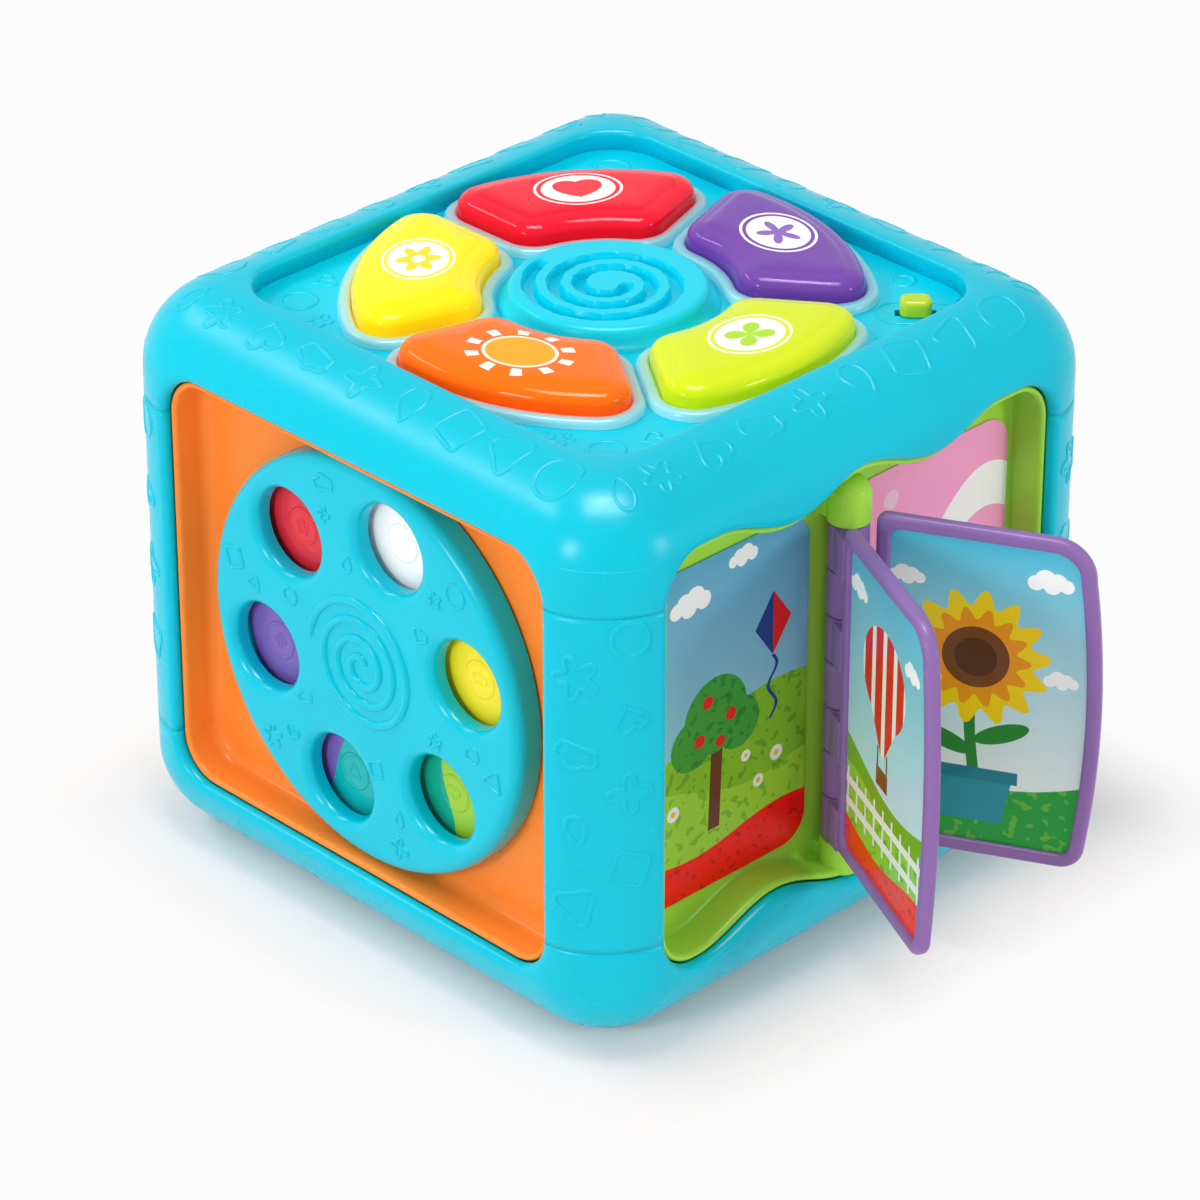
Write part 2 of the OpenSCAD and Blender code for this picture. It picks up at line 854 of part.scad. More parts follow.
module hinge_pin() {
    color(steel) translate([hinge_x, 0, 0]) slab(barrel_low - 6.7, barrel_high + 8.7) circle(pin_r);
}

// Outline of a page in its own plane, x out from the hinge, drawn in by an inset
function page_outline(inset) =
    let (low = page_low + inset, high = page_high - inset, far = page_reach - inset,
         r = page_corner - inset, r_low = page_corner_low - inset, near = page_inner + inset, small = 3,
         mid = (low + r_low + high - r) / 2, span = (high - r - low - r_low) / 2)
    concat(
        arc_points([near + small, low + small], small, 180, 270, 4),
        arc_points([far - page_bow - r_low, low + r_low], r_low, 270, 360, 6),
        [for (i = [-3:3]) [far - page_bow * pow(i / 4, 2), mid + span * i / 4]],
        arc_points([far - page_bow - r, high - r], r, 0, 90, 6),
        arc_points([near + small, high - small], small, 90, 180, 4));

// A slab in the page's plane, between two distances to one side of the hinge line
module page_slab(side, from, to) {
    shift = side > 0 ? to : -from;
    translate([0, shift, 0]) rotate([90, 0, 0]) linear_extrude(to - from) children();
}

// A page frame with its share of the hinge knuckles; side is -1 or 1
module page(side, first) {
    pitch = (barrel_high - barrel_low) / knuckles;
    middle = page_side + page_t / 2;
    difference() {
        union() {
            difference() {
                page_slab(side, page_side, page_side + page_t) polygon(page_outline(0));
                page_slab(side, page_side - cut, page_side + page_t + cut) polygon(page_outline(page_border));
                page_slab(side, middle - card_t / 2 - 0.1, middle + card_t / 2 + 0.1)
                    polygon(page_outline(page_border - groove_d - 0.1));
            }
            for (i = [first:2:knuckles - 1]) {
                low = barrel_low + i * pitch + gap / 2;
                high = low + pitch - gap;
                slab(low, high) {
                    circle(barrel_r);
                    translate([0, side > 0 ? page_side : -page_side - page_t])
                        square([page_inner + page_border / 2, page_t]);
                }
            }
        }
        slab(barrel_low - cut, barrel_high + cut) circle(pin_r + run_fit);
    }
}

module card(side) {
    middle = page_side + page_t / 2;
    page_slab(side, middle - card_t / 2, middle + card_t / 2) polygon(page_outline(page_border - groove_d));
}

module at_hinge(turn) {
    translate([hinge_x, 0, 0]) rotate(turn) children();
}

module front_page() {
    color(purple) at_hinge(front_open) page(-1, 0);
}

module rear_page() {
    color(purple) at_hinge(rear_open) page(1, 1);
}

module front_card() {
    color(white) at_hinge(front_open) card(-1);
}

module rear_card() {
    color(white) at_hinge(rear_open) card(1);
}

module picture(side) {
    outer = window_half - tray_in - picture_margin;
    on_side(90) slab(-tray_depth, -tray_depth + picture_t)
        translate([side * (outer + picture_inner) / 2, (picture_low + picture_high) / 2])
        rounded_rect(outer - picture_inner, picture_high - picture_low, picture_r);
}

module left_picture() {
    color(white) picture(-1);
}

module right_picture() {
    color(white) picture(1);
}

// Point on an involute at a radius, with the tooth's middle on +X
function flank(teeth, r, half_angle) =
    let (pitch_r = tooth_size * teeth / 2, base = pitch_r * cos(pressure), q = max(r, base),
         roll = acos(base / q), spread = tan(roll) * 180 / PI - roll,
         pitch_spread = tan(pressure) * 180 / PI - pressure, a = half_angle + pitch_spread - spread)
    r * [cos(a), sin(a)];

function mirrored(points) = [for (i = [len(points) - 1:-1:0]) [points[i][0], -points[i][1]]];

function turned(points, a) =
    [for (p = points) [p[0] * cos(a) - p[1] * sin(a), p[0] * sin(a) + p[1] * cos(a)]];

function gear_outline(teeth) =
    let (pitch_r = tooth_size * teeth / 2, root = pitch_r - dedendum, tip = pitch_r + addendum,
         half_angle = 90 / teeth - gear_play / pitch_r * 180 / PI / 4, steps = 4,
         upper = [for (i = [steps:-1:0]) flank(teeth, root + (tip - root) * i / steps, half_angle)],
         tooth = concat(mirrored(upper), upper))
    [for (i = [0:teeth - 1]) each turned(tooth, i * 360 / teeth)];

// A spoked gear on its post
module gear(teeth, at, phase) {
    pitch_r = tooth_size * teeth / 2;
    inner = pitch_r - dedendum - 4;
    hub = post_r + 4;
    on_side(180) translate([at[0], at[1], 0]) rotate(phase) slab(gear_low, gear_low + gear_t) difference() {
        polygon(gear_outline(teeth));
        circle(post_r + run_fit);
        for (i = [0:4]) rotate(i * 72) translate([(hub + inner) / 2, 0]) circle((inner - hub) / 2 - 0.8);
    }
}

module gear_large() {
    color(yellow) gear(large_teeth, large_at, mesh_turn);
}

module gear_middle() {
    color(red) gear(small_teeth, middle_at, middle_phase);
}

module gear_small() {
    color(green) gear(small_teeth, small_at, small_phase);
}

module at_gears() {
    for (at = [large_at, middle_at, small_at]) translate([at[0], at[1], 0]) children();
}

module gear_tray() {
    color(purple) on_side(180) {
        plain_tray();
        at_gears() {
            slab(-tray_depth - tray_wall, gear_low - gap) circle(post_r + 3);
            slab(-tray_depth - tray_wall, gear_low + gear_t + gap) circle(post_r);
        }
    }
}

module gear_caps() {
    color(teal) on_side(180) at_gears() slab(gear_low + gear_t + gap, gear_low + gear_t + gap + 2.4)
        circle(post_r + 3.5);
}

module clock_tray() {
    color(yellow) on_side(270) {
        plain_tray();
        at_window_middle() slab(-tray_depth - tray_wall, minute_low + hand_t + gap) circle(clock_post_r);
    }
}

module clock_face() {
    color(white) on_side(270) at_window_middle() slab(-tray_depth, -tray_depth + clock_t)
        ring(clock_r, clock_post_r + run_fit);
}

// A clock hand: a round boss with a blade that ends in a rounded tip
module hand(length, width, turn, low) {
    boss = clock_post_r + 3.5;
    on_side(270) at_window_middle() rotate(turn) slab(low, low + hand_t) difference() {
        union() {
            circle(boss);
            translate([0, -width / 2]) square([length - width / 2, width]);
            translate([length - width / 2, 0]) circle(width / 2);
        }
        circle(clock_post_r + run_fit);
    }
}

module hour_hand() {
    color(red) hand(hour_l, 11, hour_turn, hour_low);
}

module minute_hand() {
    color(purple) hand(minute_l, 9, minute_turn, minute_low);
}

module clock_cap() {
    color(lime) on_side(270) at_window_middle()
        slab(minute_low + hand_t + gap, minute_low + hand_t + gap + 2.2) circle(clock_post_r + 3);
}

// Plan of the battery door's opening, drawn in by an inset
module door_opening(inset) {
    left = cavity_l / 2 + box_rim - ledge - inset;
    right = cavity_l / 2 + box_rim + screw_pad - ledge - inset;
    half = cavity_w / 2 + box_rim - ledge - inset;
    translate([-left, -half]) square([left + right, 2 * half]);
}

module at_door_screw() {
    translate([cavity_l / 2 + screw_pad / 2 + 1, 0, 0]) children();
}

module battery_box() {
    left = cavity_l / 2 + box_rim;
    half = cavity_w / 2 + box_rim;
    color(dark) difference() {
        slab(wall, wall + cavity_h + box_rim / 2)
            translate([-left, -half]) square([2 * left + screw_pad, 2 * half]);
        slab(wall - cut, wall + cavity_h) square([cavity_l, cavity_w], center = true);
        at_door_screw() slab(wall - cut, door_screw_l + door_t) circle(door_screw_r + run_fit);
    }
}

module at_cells() {
    pitch = cell_d + cell_gap;
    for (i = [0:cell_count - 1])
        translate([0, (i - (cell_count - 1) / 2) * pitch, wall + 1 + cell_d / 2]) children();
}

module batteries() {
    nub_l = 1;
    color(dark) at_cells() rotate([0, 90, 0]) {
        translate([0, 0, -cell_l / 2]) cylinder(d = cell_d, h = cell_l - nub_l);
        cylinder(r = 2.75, h = cell_l / 2);
    }
}

module battery_contacts() {
    color(steel) at_cells() for (side = [-1, 1])
        translate([side * cavity_l / 2, 0, 0]) rotate([0, -90 * side, 0]) {
            slab(0, contact_plate) square(contact_w, center = true);
            cylinder(r1 = contact_w / 2, r2 = contact_tip_r, h = contact_l - contact_clear);
        }
}

module battery_leads() {
    color(red) at_door_screw() for (y = [-1, 1]) translate([0, y * lead_gap / 2, 0])
        slab(wall + cavity_h + box_rim / 2, board_low) circle(lead_r);
}

module battery_door() {
    color(teal) difference() {
        slab(0, door_t) door_opening(door_fit);
        at_door_screw() {
            slab(-cut, door_t + cut) circle(door_screw_r + gap);
            slab(-cut, door_t - door_seat) circle(screw_head_r);
        }
    }
}

module door_screw() {
    color(steel) at_door_screw() translate([0, 0, door_t - door_seat])
        screw(screw_head_r - gap, door_screw_head, door_screw_r, door_screw_l);
}

top_frame();
bottom_frame();
post_front();
post_right();
post_back();
post_left();
top_panel();
light_collars();
hub_cap();
button_orange();
button_lime();
button_purple();
button_red();
button_yellow();
keypad();
switch_knob();
power_switch();
circuit_board();
board_screws();
leds();
speaker();
speaker_magnet();
dial_tray();
dial();
pad(0);  // pad_yellow
pad(1);  // pad_white
pad(2);  // pad_red
pad(3);  // pad_purple
pad(4);  // pad_teal
pad(5);  // pad_green
dial_washer();
dial_screw();
book_tray();
hinge_pin();
front_page();
rear_page();
front_card();
rear_card();
left_picture();
right_picture();
gear_tray();
gear_large();
gear_middle();
gear_small();
gear_caps();
clock_tray();
clock_face();
hour_hand();
minute_hand();
clock_cap();
battery_box();
batteries();
battery_contacts();
battery_leads();
battery_door();
door_screw();
case_screws();
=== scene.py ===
# %% [markdown]
# # An activity cube
# The toy is a moulded casing with a play panel in every side and a ring of light-up keys on top. The packed
# model gives its pieces at their real size and place. This file dresses them: it rebuilds the mouldings with
# the rounded edges that a mould leaves, adds relief and prints, and gives every piece its finish.

# %% Load the frame
import math

import bmesh
import bpy
import numpy as np
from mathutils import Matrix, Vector
from mathutils.geometry import delaunay_2d_cdt


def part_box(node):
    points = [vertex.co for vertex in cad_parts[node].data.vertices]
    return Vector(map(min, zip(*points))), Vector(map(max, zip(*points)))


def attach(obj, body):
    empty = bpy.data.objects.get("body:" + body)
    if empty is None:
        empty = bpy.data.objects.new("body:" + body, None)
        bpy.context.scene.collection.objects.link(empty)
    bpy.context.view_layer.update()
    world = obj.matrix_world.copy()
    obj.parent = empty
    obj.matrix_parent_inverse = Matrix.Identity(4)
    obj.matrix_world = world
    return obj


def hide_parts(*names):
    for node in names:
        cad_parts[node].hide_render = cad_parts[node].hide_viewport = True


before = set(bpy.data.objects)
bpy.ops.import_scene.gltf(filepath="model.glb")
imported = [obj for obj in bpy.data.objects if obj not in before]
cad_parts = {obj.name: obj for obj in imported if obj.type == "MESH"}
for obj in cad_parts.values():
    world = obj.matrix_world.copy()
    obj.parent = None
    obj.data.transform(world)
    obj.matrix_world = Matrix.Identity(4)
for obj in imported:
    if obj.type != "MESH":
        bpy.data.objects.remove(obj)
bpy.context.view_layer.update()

MM = 0.001
scene = bpy.context.scene

# %% [markdown]
# ## Camera
# A product picture is taken with a long lens, so that upright edges stay nearly parallel. A camera could be
# placed by eye. Here it is given as a turn, a rise and a distance round one point, which are the numbers that
# a photographer would note down.

# %% Place the camera
CAMERA_TURN, CAMERA_RISE, CAMERA_AWAY = 45.628, 29.961, 1.60365
CAMERA_LENS, CAMERA_SENSOR = 168.19, 36
CAMERA_TARGET = Vector((-1.73, -1.77, 70.63)) * MM


def aim(thing, target, turn, rise, away):
    """Stands a camera or a lamp at a turn and a rise, in degrees, and a distance from what it points at."""
    turn, rise = math.radians(turn), math.radians(rise)
    towards = Vector((math.sin(turn) * math.cos(rise), -math.cos(turn) * math.cos(rise), math.sin(rise)))
    thing.location = target + towards * away
    thing.rotation_euler = (target - thing.location).to_track_quat("-Z", "Y").to_euler()
    scene.collection.objects.link(thing)


camera = bpy.data.objects.new("camera", bpy.data.cameras.new("camera"))
camera.data.lens = CAMERA_LENS
camera.data.sensor_width = CAMERA_SENSOR
aim(camera, CAMERA_TARGET, CAMERA_TURN, CAMERA_RISE, CAMERA_AWAY)
scene.camera = camera
print("Camera at", [round(x, 3) for x in camera.location])

# %% [markdown]
# ## Shader arithmetic
# Finishes and printed pictures are worked out from a point's place on the piece. Wiring nodes one by one
# hides the formula, so a small class wraps an output socket. Adding or comparing two of them adds the Math
# node, and a picture can then be read as a list of shapes.


# %% A socket that takes part in Python arithmetic
class Wire:
    """One output socket. An expression on wires adds its Math nodes to the same tree."""

    def __init__(self, tree, socket):
        self.tree = tree
        self.socket = socket

    def add(self, kind, settings, inputs, out=0):
        """Adds any node: its settings first, then the values or wires of its sockets."""
        node = self.tree.nodes.new(kind)
        for key, value in settings.items():
            setattr(node, key, value)
        for key, value in inputs.items():
            if isinstance(value, Wire):
                value.into(node, key)
            else:
                node.inputs[key].default_value = value
        return Wire(self.tree, node.outputs[out])

    def into(self, node, key):
        """Links this wire to a node's socket."""
        self.tree.links.new(self.socket, node.inputs[key])

    def math(self, operation, *values):
        return self.add("ShaderNodeMath", {"operation": operation}, dict(enumerate(values)))

    def __rsub__(self, other):
        return self.math("SUBTRACT", other, self)

    def __abs__(self):
        return self.math("ABSOLUTE", self)

    def sine(self):
        return self.math("SINE", self)

    def near(self, middle, half):
        """1 closer to a value than half a width, 0 further away."""
        return abs(self - middle) < half

    def between(self, low, high):
        return (self > low) & (self < high)

    def soft_step(self, start, end):
        """0 at the start, 1 at the end, and a smooth slope between them."""
        smooth = {"interpolation_type": "SMOOTHSTEP"}
        return self.add("ShaderNodeMapRange", smooth, {0: self, 1: start, 2: end})

    def parts(self):
        """The x, y and z of a vector."""
        split = self.add("ShaderNodeSeparateXYZ", {}, {0: self})
        return [Wire(self.tree, socket) for socket in split.socket.node.outputs]

    def plane(self, u, v):
        """A point of a flat picture."""
        return self.add("ShaderNodeCombineXYZ", {}, {0: u, 1: v})

    def discs(self, *circles):
        """1 inside any of some circles of the picture, each given as x, y and a radius."""
        whole = None
        for x, y, radius in circles:
            ends = {0: self, 1: (x, y, 0)}
            away = self.add("ShaderNodeVectorMath", {"operation": "DISTANCE"}, ends, out="Value")
            whole = away < radius if whole is None else whole | (away < radius)
        return whole

    def noise(self, scale, detail=2.0):
        return self.add("ShaderNodeTexNoise", {}, {"Vector": self, "Scale": scale, "Detail": detail})

    def over(self, under, colour):
        """Lays a colour over another one where this mask is 1."""
        return self.add("ShaderNodeMix", {"data_type": "RGBA"}, {0: self, 6: under, 7: colour}, out=2)


# Each operator adds the Math node that it stands for. On masks, & means both and | means either.
OPERATORS = {"add": "ADD", "radd": "ADD", "sub": "SUBTRACT", "mul": "MULTIPLY", "rmul": "MULTIPLY",
             "truediv": "DIVIDE", "pow": "POWER", "lt": "LESS_THAN", "gt": "GREATER_THAN", "and": "MULTIPLY",
             "or": "MAXIMUM"}
for word, operation in OPERATORS.items():
    setattr(Wire, f"__{word}__", lambda self, other, kind=operation: self.math(kind, self, other))


def tone(code, shade=1.0):
    """A colour written as six hex digits, made lighter or darker, as the linear values that shaders use."""
    values = [int(code[i:i + 2], 16) / 255 for i in (0, 2, 4)]
    linear = [v / 12.92 if v <= 0.04045 else ((v + 0.055) / 1.055) ** 2.4 for v in values]
    return (*[min(1.0, v * shade) for v in linear], 1.0)


print("Operators on wires:", len(OPERATORS))

# %% [markdown]
# ## Moulded plastic
# Injection-moulded plastic is never one flat colour. The melt cools unevenly, so the tone drifts a little
# over some centimetres; the mould's polish leaves a faint peel; and hands leave duller patches. A picture
# could give this. Three noises do it at the right scale on any shape, with no seams.

# %% The moulded finishes
FLOW_SCALE = 16.0
HANDLED_SCALE, HANDLED_SPREAD = 45.0, 0.14
PEEL_SCALE, PEEL_DEPTH = 750.0, 0.00012
COAT_ROUGH = 0.06


def moulded(name, colour, rough=0.3, coat=0.0, drift=0.05, peel=0.12, gloss=0.17, paint=None, **constant):
    """A moulded plastic. paint, where given, turns the place and the base colour into a printed colour."""
    material = bpy.data.materials.new(name)
    material.use_nodes = True
    tree = material.node_tree
    shader = tree.nodes["Principled BSDF"]
    place = Wire(tree, tree.nodes.new("ShaderNodeTexCoord").outputs["Object"])
    base = place.noise(FLOW_SCALE).over(tone(colour, 1 - drift), tone(colour, 1 + drift))
    if paint:
        base = paint(place, base)
    base.into(shader, "Base Color")
    handled = rough + (place.noise(HANDLED_SCALE, 3.0) - 0.5) * HANDLED_SPREAD
    handled.into(shader, "Roughness")
    peeled = place.add("ShaderNodeBump", {}, {
        "Strength": peel, "Distance": PEEL_DEPTH, "Height": place.noise(PEEL_SCALE, 1.0)})
    peeled.into(shader, "Normal")
    constant.update(Specular_IOR_Level=gloss, Coat_Weight=coat, Coat_Roughness=COAT_ROUGH)
    for socket, value in constant.items():
        shader.inputs[socket.replace("_", " ")].default_value = value
    return material


TEAL, ORANGE, LIME, PURPLE = "00c4dc", "ff8e36", "a6e04a", "8f6cae"
RED, YELLOW, GREEN, WHITE = "e8142c", "fbe11a", "4fb84a", "f2f2f0"
teal_casing = moulded("teal_casing", TEAL, rough=0.27)
# A lighter copy of the casing's teal: painted light that lifts the recessed panel out of its shade. The hub,
# the panel's relief and the battery door share it.
teal_lightened = moulded("teal_lightened", "00d6ee", rough=0.3, peel=0.2)
teal_dial = moulded("teal_dial", TEAL, rough=0.2, gloss=0.22)
orange_tray = moulded("orange_tray", ORANGE, rough=0.26)
lime_tray = moulded("lime_tray", LIME, rough=0.24)
lime_knob = moulded("lime_knob", "bcd92c", rough=0.22, coat=0.15)
purple_frame = moulded("purple_frame", PURPLE, rough=0.3)
purple_tray = moulded("purple_tray", PURPLE, rough=0.28)
yellow_tray = moulded("yellow_tray", YELLOW, rough=0.26)
yellow_gear = moulded("yellow_gear", YELLOW, rough=0.24, coat=0.15)
red_gear = moulded("red_gear", RED, rough=0.24, coat=0.15)
green_gear = moulded("green_gear", GREEN, rough=0.24, coat=0.15)
teal_cap = moulded("teal_cap", TEAL, rough=0.25)
red_hand = moulded("red_hand", RED, rough=0.26)
purple_hand = moulded("purple_hand", PURPLE, rough=0.26)
print("Moulded finishes:", len(bpy.data.materials))

# %% [markdown]
# ## Metal, rubber and board
# What sits inside never shows while the toy is whole, but a part that is taken apart shows it. Steel gets
# fine drawn streaks, the keypad a soft milky rubber, and the board its green mask with paler copper tracks.

# %% Finishes of the inner pieces


def tracks(place, base):
    """Copper tracks under a board's mask: thin bands of a wide noise."""
    wander = place.noise(60.0, 1.0) * 9.0
    return (abs(wander.sine()) < 0.22).over(base, tone("2f8a4c"))


def streaks(place, base):
    """Fine drawing marks along a wire or screw."""
    x, y, z = place.parts()
    fine = place.plane(x + y, z * 0.06).noise(4000.0, 1.0)
    return fine.over(base, tone("8f9296"))


def wrapper(place, base):
    """A plain cell: a pale band at one end of the dark sleeve."""
    x, _, _ = place.parts()
    return (x > 0.012).over(base, tone("b88a3a"))


steel = moulded("steel", "c9cacd", rough=0.28, peel=0.02, gloss=0.5, paint=streaks, Metallic=1.0)
silicone = moulded("silicone", "e6e9e6", rough=0.55, drift=0.03, Subsurface_Weight=0.2)
board_mask = moulded("board_mask", "1d6b3a", rough=0.4, paint=tracks)
dark_plastic = moulded("dark_plastic", "2b2b2e", rough=0.42)
cell_sleeve = moulded("cell_sleeve", "26282c", rough=0.3, paint=wrapper)
red_insulation = moulded("red_insulation", "c2182b", rough=0.45)
lamp_lens = moulded("lamp_lens", "eef3f2", rough=0.15, gloss=0.5, Transmission_Weight=0.6)
INNER_FINISH = {
    steel: ["hinge_pin", "dial_washer", "dial_screw", "door_screw", "case_screws", "board_screws",
            "battery_contacts", "speaker_magnet", "power_switch"],
    silicone: ["keypad"], board_mask: ["circuit_board"], dark_plastic: ["speaker", "battery_box"],
    cell_sleeve: ["batteries"], red_insulation: ["battery_leads"], lamp_lens: ["leds"]}


def dress(node, finish):
    """Gives a CAD node a finish in place of the plain one it came with."""
    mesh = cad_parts[node].data
    mesh.materials.clear()
    mesh.materials.append(finish)


for finish, nodes in INNER_FINISH.items():
    for node in nodes:
        dress(node, finish)
print("Inner nodes dressed:", sum(len(nodes) for nodes in INNER_FINISH.values()))

# %% [markdown]
# ## Outlines and skins
# Most mouldings here are outlines carried through a few rings: round the lip, down the wall, across the
# floor. A Bevel modifier on the CAD mesh would trip over its long thin triangles, so the rings are written
# out. A skin gathers rings, bridges them, and fills flat or curved areas with even triangles.

# %% Outlines


def arc(x, y, radius, start, end, steps):
    """Points of an arc, with its angles in degrees."""
    angle = np.radians(np.linspace(start, end, steps + 1))
    return np.stack([x + radius * np.cos(angle), y + radius * np.sin(angle)], 1)


def circle(x, y, radius, steps=64):
    return arc(x, y, radius, 0, 360, steps)[:-1]


def round_rect(x, y, half_w, half_h, radius, steps=10):
    """A rectangle with round corners, anticlockwise."""
    across, up = half_w - radius, half_h - radius
    corners = [(across, -up, -90), (across, up, 0), (-across, up, 90), (-across, -up, 180)]
    return np.concatenate([arc(x + i, y + j, radius, a, a + 90, steps) for i, j, a in corners])


def quarter_round(radius, steps):
    """How far in and how deep the points of a round edge lie, from its face to its wall."""
    turn = np.linspace(0, math.pi / 2, steps + 1)
    return [(radius * (1 - math.sin(a)), radius * (1 - math.cos(a))) for a in turn]


def spun(points, angle):
    """Flat points turned by an angle."""
    c, s = math.cos(angle), math.sin(angle)
    return points @ np.array([[c, s], [-s, c]])


def even(loop, step):
    """The same closed outline with no stretch longer than a step."""
    points = []
    for a, b in zip(loop, np.roll(loop, -1, 0)):
        count = max(1, math.ceil(np.linalg.norm(b - a) / step - 1e-6))
        points += [a + (b - a) * i / count for i in range(count)]
    return np.array(points)


def grown(loop, amount):
    """An anticlockwise outline moved outwards along its own normals, by one amount or one for each point."""
    ahead = np.roll(loop, -1, 0) - loop
    ahead /= np.linalg.norm(ahead, axis=1, keepdims=True)
    normal = np.stack([ahead[:, 1], -ahead[:, 0]], 1)
    mitre = normal + np.roll(normal, 1, 0)
    mitre /= np.linalg.norm(mitre, axis=1, keepdims=True)
    reach = 1 / np.clip((mitre * normal).sum(1), 0.5, 1)
    return loop + mitre * (reach * amount)[:, None]


def inside(points, loops):
    """True for the points that lie within the first outline and outside the others."""
    within = np.zeros(len(points), bool)
    x, y = points[:, :1], points[:, 1:]
    for a in loops:
        b = np.roll(a, -1, 0)
        rise = np.where(b[:, 1] == a[:, 1], 1, b[:, 1] - a[:, 1])
        edge_x = a[:, 0] + (y - a[:, 1]) * (b[:, 0] - a[:, 0]) / rise
        crosses = ((a[:, 1] > y) != (b[:, 1] > y)) & (x < edge_x)
        within ^= crosses.sum(1) % 2 == 1
    return within


def grid_inside(loops, step):
    """An even grid of points within outlines, clear of their edges."""
    low, high = loops[0].min(0), loops[0].max(0)
    rows = enumerate(np.arange(low[1], high[1], step * math.sqrt(0.75)))
    grid = np.array([(x + step / 2 * (i % 2), y) for i, y in rows for x in np.arange(low[0], high[0], step)])
    edge = np.concatenate(loops)
    nearest = np.array([((edge - p) ** 2).sum(1).min() for p in grid])
    return grid[inside(grid, loops) & (nearest > (0.6 * step) ** 2)]


print("A square with round corners has", len(round_rect(0, 0, 5, 5, 1)), "points")

# %% Skins


class Skin:
    """The points, in millimetres, and the faces of one mesh."""

    def __init__(self):
        self.points = []
        self.faces = []

    def ring(self, points):
        start = len(self.points)
        self.points.extend(np.asarray(points, float).tolist())
        return list(range(start, len(self.points)))

    def border(self, ring):
        """A ring's plan outline with its points' numbers."""
        return np.array([self.points[i][:2] for i in ring]), ring

    def bridge(self, a, b, closed=True):
        count = len(a)
        for i in range(count if closed else count - 1):
            j = (i + 1) % count
            self.faces.append((a[i], a[j], b[j], b[i]))

    def loft(self, rings, closed=True):
        made = [self.ring(points) for points in rings]
        for a, b in zip(made, made[1:]):
            self.bridge(a, b, closed)
        return made

    def sweep(self, loop, profile, place):
        """Carries an outline through a profile of growths and levels. Returns its two ends as borders."""
        flats = [grown(loop, grow) for grow, _ in profile]
        made = self.loft([place(flat, level) for flat, (_, level) in zip(flats, profile)])
        return (flats[0], made[0]), (flats[-1], made[-1])

    def fill(self, borders, place, step):
        """Even triangles between flat outlines; each border is its outline and its points' numbers."""
        loops = [loop for loop, _ in borders]
        index = [i for _, ring in borders for i in ring]
        edges = []
        for loop in loops:
            start, count = len(edges), len(loop)
            edges += [(start + i, start + (i + 1) % count) for i in range(count)]
        grid = grid_inside(loops, step)
        if len(grid):
            index += self.ring(place(grid))
        flat = np.concatenate([*loops, grid])
        corners, _, triangles, origin, _, _ = delaunay_2d_cdt([Vector(p) for p in flat], edges, [], 0, 1e-7)
        corners = np.array([tuple(c) for c in corners])
        middles = np.array([corners[list(t)].mean(0) for t in triangles])
        for keep, triangle in zip(inside(middles, loops), triangles):
            if keep:
                self.faces.append(tuple(index[origin[c][0]] for c in triangle))


CREASE = math.radians(38)
WELD = 2e-6


def build(name, skin, finish, body, slot, stands_for=(), thick=0.0):
    """Makes a piece from a skin, facing outwards, and lets it ride on its body."""
    mesh = bpy.data.meshes.new(name)
    mesh.from_pydata((np.array(skin.points) * MM).tolist(), [], skin.faces)
    work = bmesh.new()
    work.from_mesh(mesh)
    bmesh.ops.remove_doubles(work, verts=work.verts, dist=WELD)
    bmesh.ops.recalc_face_normals(work, faces=work.faces)
    if thick:
        middle = Vector((0, 0, sum((v.co.z for v in work.verts)) / len(work.verts)))
        if sum(f.calc_area() * f.normal.dot(f.calc_center_median() - middle) for f in work.faces) < 0:
            bmesh.ops.reverse_faces(work, faces=work.faces)
    work.to_mesh(mesh)
    work.free()
    mesh.shade_smooth()
    mesh.set_sharp_from_angle(angle=CREASE)
    mesh.materials.append(finish)
    piece = bpy.data.objects.new(name, mesh)
    scene.collection.objects.link(piece)
    if thick:
        wall = piece.modifiers.new("wall", "SOLIDIFY")
        wall.thickness = thick * MM
        wall.offset = -1
    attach(piece, body)
    if stands_for:
        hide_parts(*stands_for)
    print(name, len(mesh.polygons), "faces")
    return piece


def turned(points, quarter):
    """Points turned round the upright axis by quarter turns."""
    angle = quarter * math.pi / 2
    c, s = round(math.cos(angle)), round(math.sin(angle))
    x, y, z = np.moveaxis(np.asarray(points, float), -1, 0)
    return np.stack([c * x - s * y, s * x + c * y, z], -1)


def upright(points, z):
    """Places a plan outline at a height."""
    return np.column_stack([points, np.broadcast_to(z, len(points))])


def rounded_plate(skin, loops, low, high, place, top, bottom, step=5.0, turns=4):
    """A plate with round edges, of one radius at the top and one at the bottom; holes follow the outline."""
    upper, lower = [], []
    for k, loop in enumerate(loops):
        side = -1 if k == 0 else 1
        profile = [(side * inset, low + depth) for inset, depth in quarter_round(bottom, turns)]
        profile += [(side * inset, high - depth) for inset, depth in quarter_round(top, turns)[::-1]]
        first, last = skin.sweep(loop, profile, place)
        lower.append(first)
        upper.append(last)
    skin.fill(upper, lambda p: place(p, high), step)
    skin.fill(lower, lambda p: place(p, low), step)


print("Edges sharper than", round(math.degrees(CREASE)), "degrees stay crisp")

# %% [markdown]
# ## Casing
# The casing is two moulded frames, top and bottom, with four corner posts between them. One rolled edge runs
# all round. A box with a bevel would do for a plain cube; here the roll meets windows, so a point on the skin
# is found from two lengths, s round the plan and t down from the top, and windows are cut in that flat map.
# Every window edge turns in with a small round, as it leaves the mould.

# %% The casing's skin
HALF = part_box("bottom_frame")[1].x / MM
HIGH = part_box("top_frame")[1].z / MM
CORNER, ROLL = 27.0, 25.0
FLAT = HALF - CORNER
PITCH = 2 * FLAT + CORNER * math.pi / 2
ROLL_L = ROLL * math.pi / 2
LOW_ROLL = ROLL_L + HIGH - 2 * ROLL


